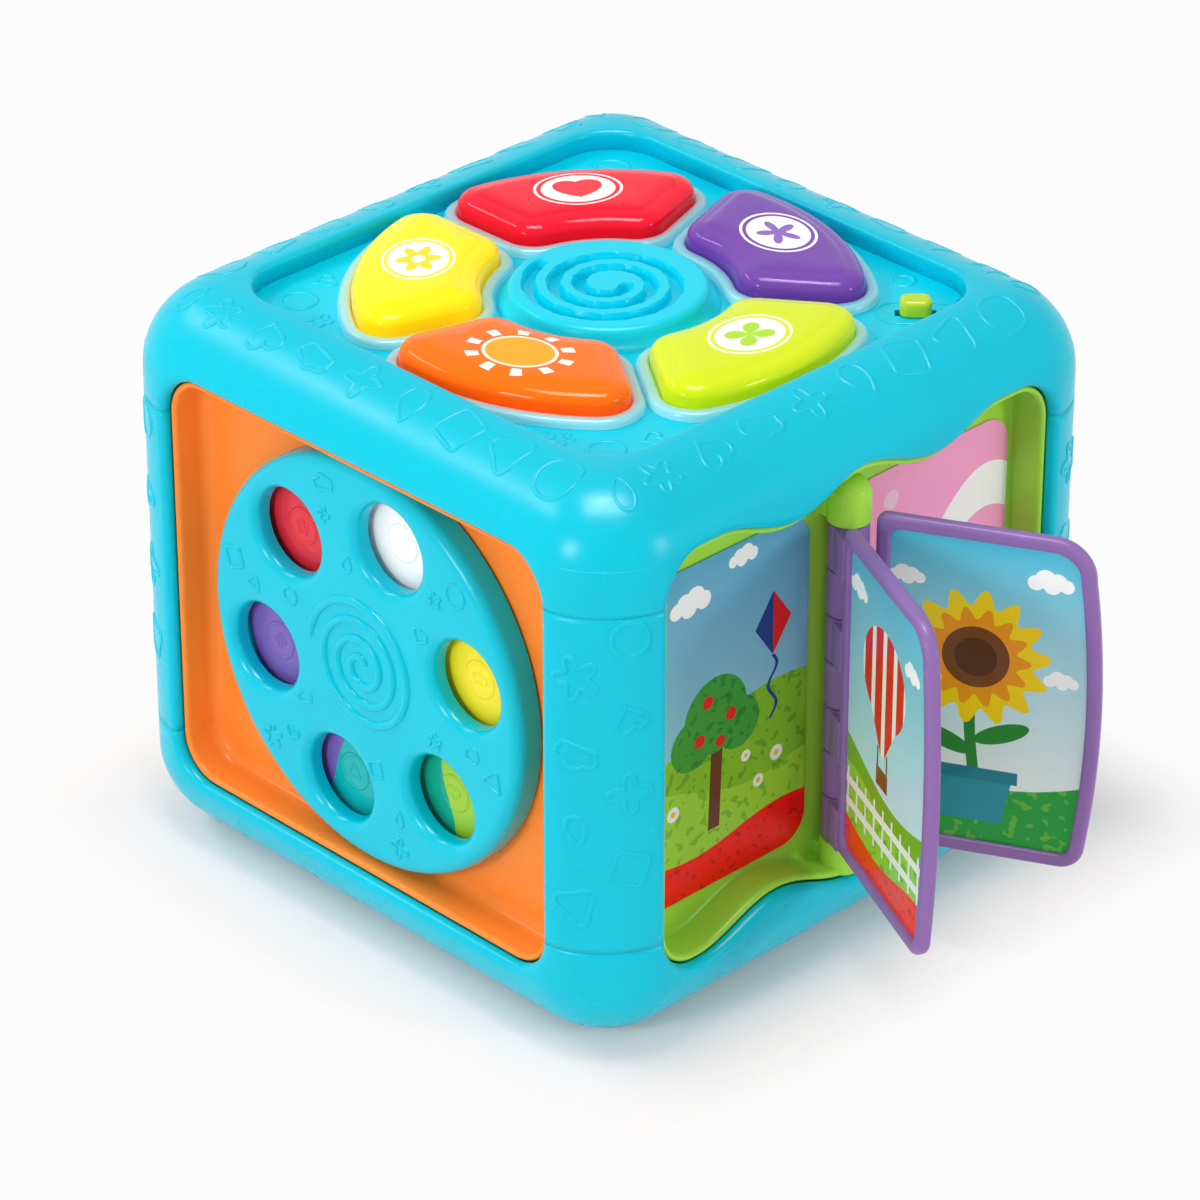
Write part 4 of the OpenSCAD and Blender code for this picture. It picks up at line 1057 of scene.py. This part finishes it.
def pad_paint(middle, other, edge, slant):
    """A pad in two tones, which part along a curved line."""
    def paint(place, base):
        x, _, z = place.parts()
        u, v = x / MM - middle[0], z / MM - middle[1]
        bend = (v * 0.16).sine() * 2.4
        return ((u - v * slant + bend) < edge).over(base, tone(other))
    return paint


pad_finish = {}
for middle, (name, main) in zip(finger_at, PADS.items()):
    two_tone = pad_paint(middle, *PAD_SPLIT[name]) if name in PAD_SPLIT else None
    pad_finish[name] = moulded("pad_" + name, main, rough=0.22, coat=0.2, paint=two_tone)
    dress("pad_" + name, pad_finish[name])
print("Pads:", len(PADS))

# %% [markdown]
# ## Relief
# Fine raised lines cover the casing: rings, squares, clouds and stars, less than half a millimetre high. A
# bump map would fake them, but they catch light along the rolled edges, so each is a real bead with a round
# back, laid along a path on the surface and sunk a little so that it never floats.

# %% Beads and small shapes
BEAD_SINK = 0.15
BEAD_SIDES = 7
GOLDEN_TURN = 2.399963


def bead(skin, path, width, height, place, closed=True):
    """A raised line along a path; place puts flat points on the surface, raised by a lift."""
    path = np.asarray(path, float)
    count = np.arange(len(path))
    if closed:
        ahead = np.roll(path, -1, 0) - np.roll(path, 1, 0)
        fade = np.ones(len(path))
    else:
        ahead = np.gradient(path, axis=0)
        fade = np.clip(np.minimum(count, count[::-1]) / 3 + 0.25, 0, 1)
    ahead /= np.linalg.norm(ahead, axis=1, keepdims=True)
    across = np.stack([-ahead[:, 1], ahead[:, 0]], 1)
    rows = []
    for a in np.linspace(0, math.pi, BEAD_SIDES):
        flat = path + across * (width / 2 * math.cos(a) * fade)[:, None]
        rows.append(place(flat, height * math.sin(a) * fade - BEAD_SINK))
    rings = skin.loft(list(np.stack(rows, 1)))
    if closed:
        skin.bridge(rings[-1], rings[0])
    else:
        skin.faces += [tuple(rings[0][::-1]), tuple(rings[-1])]


def drawn(count, x, y):
    """A closed path from two formulas of the angle."""
    a = np.linspace(0, 2 * math.pi, count + 1)[:-1]
    return np.stack([x(a), y(a)], 1)


def lobed(count, reach):
    """A closed path whose distance from its middle is a formula of the angle."""
    return drawn(count, lambda a: reach(a) * np.sin(a), lambda a: reach(a) * np.cos(a))


def puffs(a):
    return 1 + 0.22 * np.abs(np.sin(3 * a)) * (np.sin(a) > 0)


def heart_y(a):
    return (13 * np.cos(a) - 5 * np.cos(2 * a) - 2 * np.cos(3 * a) - np.cos(4 * a)) / 16 + 0.15


# A ring, a cloud, a square, a star, a clover, a triangle, a heart and a leaf, each about one unit in radius
SHAPES = [
    circle(0, 0, 1, 40),
    drawn(72, lambda a: puffs(a) * np.cos(a), lambda a: np.maximum(0.8 * puffs(a) * np.sin(a), -0.3) - 0.2),
    even(round_rect(0, 0, 0.9, 0.9, 0.25, 5), 0.15),
    lobed(60, lambda a: 0.8 + 0.28 * np.cos(5 * a)),
    lobed(64, lambda a: 0.72 + 0.3 * np.cos(4 * a)),
    lobed(48, lambda a: 0.82 + 0.2 * np.cos(3 * a) + 0.04 * np.cos(6 * a)),
    drawn(60, lambda a: np.sin(a) ** 3, heart_y),
    drawn(48, lambda a: 0.8 * np.sin(a) * np.abs(np.sin(a / 2)) ** 0.8, np.cos)]


def scatter(skin, spots, place, width=1.6, height=0.55):
    """Lays one small shape after another on a surface; each spot is x, y and a size."""
    for i, (x, y, size) in enumerate(spots):
        path = spun(SHAPES[i * 3 % len(SHAPES)], 0.35 * math.sin(i * GOLDEN_TURN))
        bead(skin, path * size + (x, y), width, height, place)


print("Small shapes:", len(SHAPES))

# %% Relief on the casing
RIM_RELIEF = 0.42
SEAM_LINES, SEAM_HALF = (WINDOW_HIGH + 0.5, WINDOW_LOW - 1.0), 15.5
relief = Skin()
on_casing = lambda points, lift: casing_at(points[:, 0], points[:, 1], lift)
for side in range(4):
    spots = [(side * PITCH + u, ROLL * math.radians(36 + 13 * math.sin(u)), 6.2 + 1.4 * math.cos(u))
             for u in np.arange(-84, 85, 19.0)]
    scatter(relief, spots, on_casing, height=RIM_RELIEF)
    corner = (side + 0.5) * PITCH
    spots = [(corner + (-7.6 if i % 2 else 7.0), ROLL_L + 14 + 11.8 * i, 5.2 + math.sin(i * 2.1))
             for i in range(8)]
    scatter(relief, spots, on_casing)
    for z in SEAM_LINES:
        t = casing_map(np.zeros(1), np.array([z]))[0, 1]
        line = np.linspace((corner - SEAM_HALF, t), (corner + SEAM_HALF, t), 40)
        bead(relief, line, 0.7, 0.2, on_casing, closed=False)
build("casing_relief", relief, teal_casing, "casing", "teal_plastic")

# %% Relief on the dial
SPIRAL_TURNS, SPIRAL_STEP, SPIRAL_START, SPIRAL_LEAN = 3.4, 5.6, 2.0, 0.6
dial_relief = Skin()
on_dial = lambda points, lift: front_of_dial(points, DIAL_FRONT + lift)
angle = np.linspace(0, SPIRAL_TURNS * 2 * math.pi, 260)
reach = SPIRAL_START + SPIRAL_STEP * angle / (2 * math.pi)
spiral = np.stack([reach * np.cos(angle + SPIRAL_LEAN), WINDOW_MID + reach * np.sin(angle + SPIRAL_LEAN)], 1)
bead(dial_relief, spiral, 2.6, 1.2, on_dial, closed=False)
gaps = [math.radians(FINGER_TURN + (i + 0.5) * 360 / FINGERS) for i in range(FINGERS)]
spots = [(reach * math.cos(a + lean), WINDOW_MID + reach * math.sin(a + lean), size) for a in gaps
         for reach, lean, size in ((54, 0, 3.4), (45, 0.06, 2.4), (31, -0.1, 2.6))]
scatter(dial_relief, spots, on_dial, 1.3, 0.65)
build("dial_relief", dial_relief, teal_dial, "dial_body", "teal_plastic")

# %% Relief on the pads
PAD_PLATE, PAD_DOME_R, PAD_DOME_H = -TRAY_DEPTH + 1.6, FINGER_R + 1.5, 1.8
PAD_BALL = (PAD_DOME_R ** 2 + PAD_DOME_H ** 2) / (2 * PAD_DOME_H)
MARK_RING, MARK_SIZE, MARK_HIGH = 5.2, 2.3, 0.4


def on_pad(middle):
    """Places points on a pad's dome."""
    def place(points, lift):
        away = ((points - middle) ** 2).sum(1)
        return front_of_dial(points, PAD_PLATE + PAD_DOME_H - PAD_BALL + np.sqrt(PAD_BALL ** 2 - away) + lift)
    return place


for middle, name, shape in zip(finger_at, PADS, SHAPES[1:]):
    mark = Skin()
    bead(mark, SHAPES[0] * MARK_RING + middle, 1.3, MARK_HIGH, on_pad(middle))
    bead(mark, shape * MARK_SIZE + middle, 0.9, MARK_HIGH, on_pad(middle))
    build("mark_" + name, mark, pad_finish[name], "casing", name + "_plastic")

# %% Relief on the top panel
CORNER_AT = 61
CORNER_SPOTS = [(0, 0, 5.0), (-13, 4, 3.4), (4, -13, 3.4)]
KNOB_SPOTS = [(48, 68, 3.2), (70, 38, 3.2), (69, 69, 3.0)]
panel_relief = Skin()
on_panel = lambda points, lift: upright(points, PANEL_TOP + lift)
for i, j in ((1, -1), (-1, 1), (-1, -1)):
    spots = [(i * (CORNER_AT + x), j * (CORNER_AT + y), size) for x, y, size in CORNER_SPOTS]
    scatter(panel_relief, spots, on_panel)
knob_frame = at_knob(even(round_rect(0, 0, 11, 6.5, 6.4), 0.8), 0)[:, :2]
bead(panel_relief, knob_frame, 1.0, 0.5, on_panel)
scatter(panel_relief, KNOB_SPOTS, on_panel)
build("panel_relief", panel_relief, teal_lightened, "casing", "teal_plastic")

# %% [markdown]
# ## Book
# Two pages turn on a pin between lime lugs. Each page is a purple frame, round like a tube on its outer edge,
# with a printed card in its groove and knuckles that share one barrel with the other page.

# %% The book's tray
HINGE_X = (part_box("hinge_pin")[0].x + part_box("hinge_pin")[1].x) / MM / 2
BARREL_R, BARREL_LOW, BARREL_HIGH, BARREL_GAP = 5.8, 33.5, 134.0, 0.3
LUG_R, LUG_WEB, LUG_LOW, LUG_TOP = 6.2, 4.0, WINDOW_LOW + 1.0, 147.5
book_skin = tray(BOOK_SIDE, 1.2)


def lug(low, high, dome):
    """A round boss on the hinge's line, with a web back to the tray's floor."""
    root = HALF - TRAY_DEPTH - 1
    web = even(round_rect((root + HINGE_X) / 2, 0, (HINGE_X - root) / 2, LUG_WEB, 0.5, 3), 2.5)
    boss = circle(HINGE_X, 0, LUG_R, 48)
    rounded_plate(book_skin, [boss], low, high, upright, top=dome, bottom=0.3, step=3, turns=8)
    rounded_plate(book_skin, [web], low, high - LUG_R / 2, upright, top=0.4, bottom=0.3, step=3, turns=3)


lug(BARREL_HIGH + BARREL_GAP, LUG_TOP, dome=5.4)
lug(LUG_LOW, BARREL_LOW - BARREL_GAP, dome=0.8)
build("tray_book", book_skin, lime_tray, "casing", "lime_plastic", ["book_tray"])

# %% The pages
PAGE_LOW, PAGE_HIGH, PAGE_REACH, PAGE_NEAR = 33.5, 136.5, 71.5, 7.2
PAGE_T, PAGE_SIDE, PAGE_BORDER, PAGE_BOW, PAGE_DRAWN = 5.0, 0.3, 4.1, 3.0, 0.5
PAGE_CORNER, PAGE_FOOT, PAGE_HEEL = 12.0, 7.0, 3.0
PAGE_MIDDLE = PAGE_SIDE + PAGE_T / 2
KNUCKLES = 7
KNUCKLE_PITCH = (BARREL_HIGH - BARREL_LOW) / KNUCKLES
# Each page's turn in degrees, the side of the hinge's plane that it lies on, and its first knuckle
PAGES = {"front": (-25, -1, 0), "rear": (28, 1, 1)}


def page_outline(inset):
    """A page's outline, x out from the hinge and y up, drawn in by an inset."""
    low, high, far, near = PAGE_LOW + inset, PAGE_HIGH - inset, PAGE_REACH - inset, PAGE_NEAR + inset
    radius, foot, heel = PAGE_CORNER - inset, PAGE_FOOT - inset, PAGE_HEEL
    mid, span = (low + foot + high - radius) / 2, (high - radius - low - foot) / 2
    rise = np.linspace(-1, 1, 25)[1:-1]
    return np.concatenate([
        arc(near + heel, low + heel, heel, 180, 270, 6),
        arc(far - PAGE_BOW - foot, low + foot, foot, 270, 360, 12),
        np.stack([far - PAGE_BOW * rise ** 2, mid + span * rise], 1),
        arc(far - PAGE_BOW - radius, high - radius, radius, 0, 90, 12),
        arc(near + heel, high - heel, heel, 90, 180, 6)])


def page_section():
    """The frame's cross-section: how far in from the outline, and how far across the page."""
    outer, inner, low, high = 1.5, 0.9, PAGE_DRAWN, PAGE_T - PAGE_DRAWN
    corners = [(outer, low + outer, outer, 180), (PAGE_BORDER - inner, low + inner, inner, 270),
               (PAGE_BORDER - inner, high - inner, inner, 0), (outer, high - outer, outer, 90)]
    return np.concatenate([arc(x, y, r, a, a + 90, 5) for x, y, r, a in corners])


def at_hinge(turn):
    """Places points of a page, x out from the hinge and y across the page, at a height."""
    return lambda points, z: upright(spun(points, math.radians(turn)) + (HINGE_X, 0), z)


for name, (turn, side, first) in PAGES.items():
    skin = Skin()
    place = at_hinge(turn)
    rings = []
    for inset, across in page_section():
        x, z = page_outline(inset).T
        rings.append(place(np.stack([x, np.full(len(x), side * (PAGE_SIDE + across))], 1), z))
    made = skin.loft(rings)
    skin.bridge(made[-1], made[0])
    barrel = circle(0, 0, BARREL_R, 48)
    web = round_rect(PAGE_NEAR / 2 + 1, side * PAGE_MIDDLE, PAGE_NEAR / 2 + 1, PAGE_T / 2, 0.4, 2)
    for i in range(first, KNUCKLES, 2):
        low, high = (BARREL_LOW + k * KNUCKLE_PITCH for k in (i, i + 1))
        for loop, gap, edge, turns in ((barrel, 0.15, 0.7, 4), (web, 0.55, 0.3, 2)):
            rounded_plate(skin, [loop], low + gap, high - gap, place, edge, edge, 4, turns)
    build("page_" + name, skin, purple_frame, name + "_leaf", "purple_plastic", [name + "_page"])

# %% [markdown]
# ## Pictures
# The cards and the tray's sheets are printed. Each picture is a stack of layers, sky first, and each layer is
# a mask and a colour. Hills are waves, clouds and crowns are circles that overlap. Places are millimetres, u
# out from the hinge and v up.

# %% Picture helpers
CLOUD_PUFFS = [(-1.0, 0, 0.55), (-0.35, 0.35, 0.7), (0.45, 0.25, 0.62), (1.05, 0, 0.5), (0.1, -0.1, 0.6)]


def cloud(spot, x, y, size):
    """A cloud: a few circles side by side."""
    return spot.discs(*[(x + dx * size, y + dy * size, r * size) for dx, dy, r in CLOUD_PUFFS])


def hill(u, v, level, height, pitch, shift):
    """Everything below a wavy line."""
    return v < ((u + shift) * (2 * math.pi / pitch)).sine() * height + level


def tufts(spot):
    return spot.noise(0.3, 1.0) > 0.6


def pebbles(spot):
    return spot.noise(0.42, 1.0) > 0.64


def leaf(x, v, side, level):
    """A slanted oval beside a stem."""
    off, rise = x - side * 8.0, v - level - x * (side * 0.35)
    return off * off / 60.0 + rise * rise / 9.0 < 1.0


def layers(base, stack):
    """Lays masks and colours over each other, first to last."""
    for mask, colour in stack:
        base = mask.over(base, tone(colour))
    return base


def sky(v, low, high, top, bottom):
    """A sky that pales towards the ground."""
    share = v.add("ShaderNodeMapRange", {}, {0: v, 1: low, 2: high})
    return share.over(tone(bottom), tone(top))


print("A cloud has", len(CLOUD_PUFFS), "puffs")

# %% The pictures


def meadow(u, v, spot):
    """The tray's left sheet: a kite over a hill, an apple tree and a red path."""
    trunk = (u + (v - 60.0) * 0.04).near(44.0, 2.2) & v.between(52.0, 80.0)
    crown = spot.discs((44, 88, 12), (35, 82, 8), (53, 82, 8))
    apples = spot.discs((38, 86, 2.0), (47, 93, 2.0), (50, 82, 2.0), (42, 79, 1.8))
    kite = (abs(u - 22.0) / 7.0 + abs(v - 108.0) / 10.0) < 1.0
    tail = (u - ((v - 98.0) * 0.5).sine() * 1.6).near(22.0, 0.6) & v.between(78.0, 98.0)
    daisies = spot.discs((20, 66, 2.4), (27, 60, 2.0), (60, 63, 2.3), (32, 70, 1.8))
    hearts = spot.discs((20, 66, 0.9), (27, 60, 0.8), (60, 63, 0.9), (32, 70, 0.7))
    far, near, path = hill(u, v, 84, 6, 120, 10), hill(u, v, 66, 5, 90, 40), hill(u, v, 48, 2.5, 70, 0)
    grass = tufts(spot)
    return layers(sky(v, 70, 143, "58a4ca", "9ad0e4"), [
        (cloud(spot, 54, 126, 5.0) | cloud(spot, 34, 133, 3.6), "f4f6f6"), (far, "8cc42c"),
        (far & grass, "6aab2a"), (near, "a2d838"), (near & grass, "7fc02c"), (trunk, "6a3d22"),
        (crown, "43a03a"), (crown & grass, "2f8a34"), (apples, "e8231f"), (tail, "27408c"), (kite, "e8231f"),
        (kite & (u > 22.0), "27408c"), (daisies, "f7f7f4"), (hearts, "f4c21a"),
        (path, "ff180a"), (path & pebbles(spot), "d20c0c")])


def balloon(u, v, spot):
    """The front card: a striped balloon over hills, with a white fence and a red path."""
    bag = spot.discs((36, 104, 15)) | (u.near(36.0, (v - 78.0) * 0.62) & v.between(80.0, 97.0))
    stripe = bag & (abs(((u - 36.0) * 0.42).sine()) < 0.5)
    basket = u.near(36.0, 4.0) & v.between(70.0, 76.0)
    ropes = abs(u - 36.0).near(3.2, 0.45) & v.between(75.0, 82.0)
    rails = v.near(60.0, 1.3) | v.near(53.0, 1.3)
    posts = (abs((u * 0.5).sine()) < 0.28) & v.between(49.0, 64.0)
    near, path = hill(u, v, 62, 4, 64, 0), hill(u, v, 47, 2, 60, 12)
    return layers(sky(v, 70, 132, "58b9d6", "c4e6ee"), [
        (cloud(spot, 17, 122, 3.8) | cloud(spot, 55, 116, 3.4), "ffffff"),
        (hill(u, v, 72, 5, 100, 30), "7cb32b"), (bag, "e01b22"), (stripe, "f7f4ea"), (ropes, "5a3a22"),
        (basket, "8a5528"), (near, "9bd23a"),
        (near & tufts(spot), "78b62c"), (rails | posts, "f4f4f0"), (path, "fb3c0c"),
        (path & pebbles(spot), "e02406")])


def sunflower(u, v, spot):
    """The rear card: a tall flower in a teal pot on a green hill."""
    x = u - 36.0
    r, a = polar(x, v - 96.0)
    petals = r < ((a * 14.0).sine() + 7.5) * 2.5
    inner = r < ((a * 14.0 + 1.6).sine() + 7.2) * 1.9
    stem = (x + (v * 0.1).sine() * 1.2).near(0.0, 1.6) & v.between(58.0, 80.0)
    leaves = leaf(x, v, 1, 70.0) | leaf(x, v, -1, 66.0)
    pot = (abs(x) < (v - 46.0) * 0.2 + 9.0) & v.between(44.0, 58.0)
    band = (abs(x) < 13.0) & v.between(57.0, 61.0)
    clouds = cloud(spot, 56, 122, 4.2) | cloud(spot, 16, 118, 3.4) | cloud(spot, 60, 92, 3.2)
    ground = hill(u, v, 62, 7, 130, 55)
    return layers(sky(v, 60, 132, "4cc3e0", "e6f4f6"), [
        (clouds, "ffffff"), (ground, "14a03a"), (ground & tufts(spot), "5cb53c"), (stem | leaves, "1f8a3a"),
        (petals, "fbd516"), (inner, "f39a1c"), (r < 9.5, "7a4421"), (r < 6.0, "5b2f17"), (pot, "1592a8"),
        (band, "0f7f93")])


def garden(u, v, spot):
    """The cards' far sides: a sun over two hills with round trees."""
    trees = spot.discs((18, 74, 8), (52, 80, 10), (36, 66, 6))
    trunks = (u.near(18.0, 1.1) | u.near(52.0, 1.3) | u.near(36.0, 1.0)) & v.between(50.0, 74.0)
    return layers(sky(v, 60, 132, "63c4e2", "eaf5f4"), [
        (spot.discs((24, 114, 10)), "fbd01c"), (cloud(spot, 50, 116, 4.0), "ffffff"),
        (hill(u, v, 66, 6, 110, 20), "8cc63a"), (trunks, "7a4a28"), (trees, "2f9a44"),
        (hill(u, v, 50, 3, 70, 0), "f08a1e")])


def ribbon(u, v, spot):
    """The tray's right sheet: a white band that winds over pink."""
    band = (v + (u * 0.075).sine() * 14.0).near(104.0, 7.0)
    lower = (v - (u * 0.08).sine() * 10.0).near(62.0, 3.0)
    dots = spot.discs((24, 128, 3), (60, 82, 3), (30, 80, 2.4), (50, 44, 3))
    return layers(tone("ffa6d2"), [(band, "fcfafb"), (lower, "fbe3ee"), (dots, "f7c9df")])


print("Pictures:", *(picture.__name__ for picture in (meadow, balloon, sunflower, garden, ribbon)))

# %% Print the pictures


def sheet_paint(picture, side):
    """A sheet on the tray's floor, left or right of the hinge."""
    def paint(place, base):
        _, y, z = place.parts()
        u, v = y * side / MM, z / MM
        return picture(u, v, place.plane(u, v))
    return paint


def card_paint(front, back, turn, side):
    """A card with a picture on each face."""
    c, s = math.cos(math.radians(turn)), math.sin(math.radians(turn))

    def paint(place, base):
        x, y, z = place.parts()
        out, aside, v = x / MM - HINGE_X, y / MM, z / MM
        u, across = out * c + aside * s, aside * c - out * s
        spot = place.plane(u, v)
        return (across < side * PAGE_MIDDLE).over(back(u, v, spot), front(u, v, spot))
    return paint


SHEET_NEAR, SHEET_FAR, SHEET_LOW, SHEET_HIGH, SHEET_CORNER = 8.2, 71.6, 34.0, 138.0, 9.0
for name, side, picture in (("left", -1, meadow), ("right", 1, ribbon)):
    sheet = Skin()
    outline = round_rect(side * (SHEET_NEAR + SHEET_FAR) / 2, (SHEET_LOW + SHEET_HIGH) / 2,
                         (SHEET_FAR - SHEET_NEAR) / 2, (SHEET_HIGH - SHEET_LOW) / 2, SHEET_CORNER)
    low, high = (corner.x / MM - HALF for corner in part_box(name + "_picture"))
    rounded_plate(sheet, [even(outline, 6.0)], low, high, on_side(BOOK_SIDE),
                  top=0.12, bottom=0.05, step=6.0, turns=2)
    print_finish = moulded(name + "_print", WHITE, rough=0.34, paint=sheet_paint(picture, side))
    build("sheet_" + name, sheet, print_finish, "casing", "printed_card", [name + "_picture"])
for name, picture in (("front", balloon), ("rear", sunflower)):
    turn, side, _ = PAGES[name]
    printed = card_paint(picture, garden, turn, side)
    dress(name + "_card", moulded(picture.__name__ + "_card", WHITE, rough=0.3, coat=0.2, paint=printed))
print("Pictures printed")

# %% [markdown]
# ## Gears and clock
# Flat pieces such as gears and hands keep the CAD's own outline. It is read from the outermost flat face, and
# the piece is rebuilt with rounded edges, which a moulded gear always has.

# %% Soften flat pieces
FACE_DEPTH = 0.01


def cad_outline(node, side):
    """The outlines of a CAD node's outermost flat face seen from a side, and its lowest and highest level."""
    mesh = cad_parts[node].data
    points = turned(np.array([v.co for v in mesh.vertices]) / MM, -side)
    level = -HALF - points[:, 1]
    mesh.calc_loop_triangles()
    links = {}
    for triangle in mesh.loop_triangles:
        corners = list(triangle.vertices)
        if min(level[corners]) > level.max() - FACE_DEPTH:
            keys = [(round(points[c, 0], 3), round(points[c, 2], 3)) for c in corners]
            for a, b in zip(keys, keys[1:] + keys[:1]):
                if (b, a) in links:
                    del links[(b, a)]
                else:
                    links[(a, b)] = True
    after = {a: b for a, b in links}
    loops = []
    while after:
        start, here = after.popitem()
        loop = [start]
        while here != start:
            loop.append(here)
            here = after.pop(here)
        loop = np.array(loop)
        ahead = np.roll(loop, -1, 0)
        area = (loop[:, 0] * ahead[:, 1] - loop[:, 1] * ahead[:, 0]).sum() / 2
        loops.append((abs(area), loop if area > 0 else loop[::-1]))
    loops = [loop for _, loop in sorted(loops, key=lambda item: -item[0])]
    return loops, level.min(), level.max()


def soften(node, side, finish, body, slot, edge, apart=False):
    """Rebuilds a flat CAD node with round edges; apart, where its outlines are separate pieces."""
    loops, low, high = cad_outline(node, side)
    skin = Skin()
    for group in [[loop] for loop in loops] if apart else [loops]:
        rounded_plate(skin, group, low, high, on_side(side), top=edge, bottom=edge / 2, step=4.0, turns=3)
    build("soft_" + node, skin, finish, body, slot, [node])


soften("gear_large", GEAR_SIDE, yellow_gear, "large_gear", "yellow_plastic", 0.7)
soften("gear_middle", GEAR_SIDE, red_gear, "middle_gear", "red_plastic", 0.7)
soften("gear_small", GEAR_SIDE, green_gear, "small_gear", "green_plastic", 0.7)
soften("gear_caps", GEAR_SIDE, teal_cap, "casing", "teal_plastic", 1.0, apart=True)
soften("hour_hand", CLOCK_SIDE, red_hand, "hour", "red_plastic", 0.6)
soften("minute_hand", CLOCK_SIDE, purple_hand, "minute", "purple_plastic", 0.6)
soften("clock_cap", CLOCK_SIDE, lime_knob, "casing", "lime_plastic", 0.9)

# %% The gears' tray
BOSS_R, BOSS_SUNK, BOSS_CLEAR = 6.0, 0.5, 0.3
gear_skin = tray(GEAR_SIDE, 2.5)
for node in ("gear_large", "gear_middle", "gear_small"):
    low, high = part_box(node)
    middle = (low + high) / 2 / MM
    boss = circle(-middle.x, middle.z, BOSS_R, 40)
    rounded_plate(gear_skin, [boss], -TRAY_DEPTH - BOSS_SUNK, low.y / MM - HALF - BOSS_CLEAR,
                  on_side(GEAR_SIDE), top=0.3, bottom=0.1, step=3, turns=2)
build("tray_gears", gear_skin, purple_tray, "casing", "purple_plastic", ["gear_tray"])

# %% The clock's face
CLOCK_OUT = -TRAY_DEPTH + 1.5
CLOCK_RING, CLOCK_WEDGES, CLOCK_MIDDLE = 54.5, 36.0, 12.0
NUMBER_R, NUMBER_SIZE, NUMBER_RAISED = 47.0, 11.5, 0.12
clock_place = on_side(CLOCK_SIDE)


def clock_paint(place, base):
    """A pale face with a coloured ring and six tinted wedges."""
    _, y, z = place.parts()
    r, a = polar(y * -1.0 / MM, z / MM - WINDOW_MID)
    wedges = (r < CLOCK_WEDGES) & ((a * 6.0).sine() > 0.0)
    return layers(base, [(wedges, "cdeef4"), (r > CLOCK_RING, "20b4cf"), (r < CLOCK_MIDDLE, "fbe11a")])


dress("clock_face", moulded("clock_print", "f7f7f2", rough=0.3, paint=clock_paint))
dress("battery_door", teal_lightened)
number_ink = moulded("number_ink", "2b4a9b", rough=0.4)
hour_at = arc(0, WINDOW_MID, NUMBER_R, 60, -270, 11)
for hour, place in enumerate(clock_place(hour_at, CLOCK_OUT), 1):
    text = bpy.data.curves.new("hour_%02d" % hour, "FONT")
    text.body = str(hour)
    text.size = NUMBER_SIZE * MM
    text.align_x, text.align_y = "CENTER", "CENTER"
    text.extrude = NUMBER_RAISED * MM
    text.materials.append(number_ink)
    number = bpy.data.objects.new("hour_%02d" % hour, text)
    number.location = Vector(place) * MM
    number.rotation_euler = (math.pi / 2, 0, -math.pi / 2)
    scene.collection.objects.link(number)
    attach(number, "casing")
print("Hours on the clock:", len(hour_at))
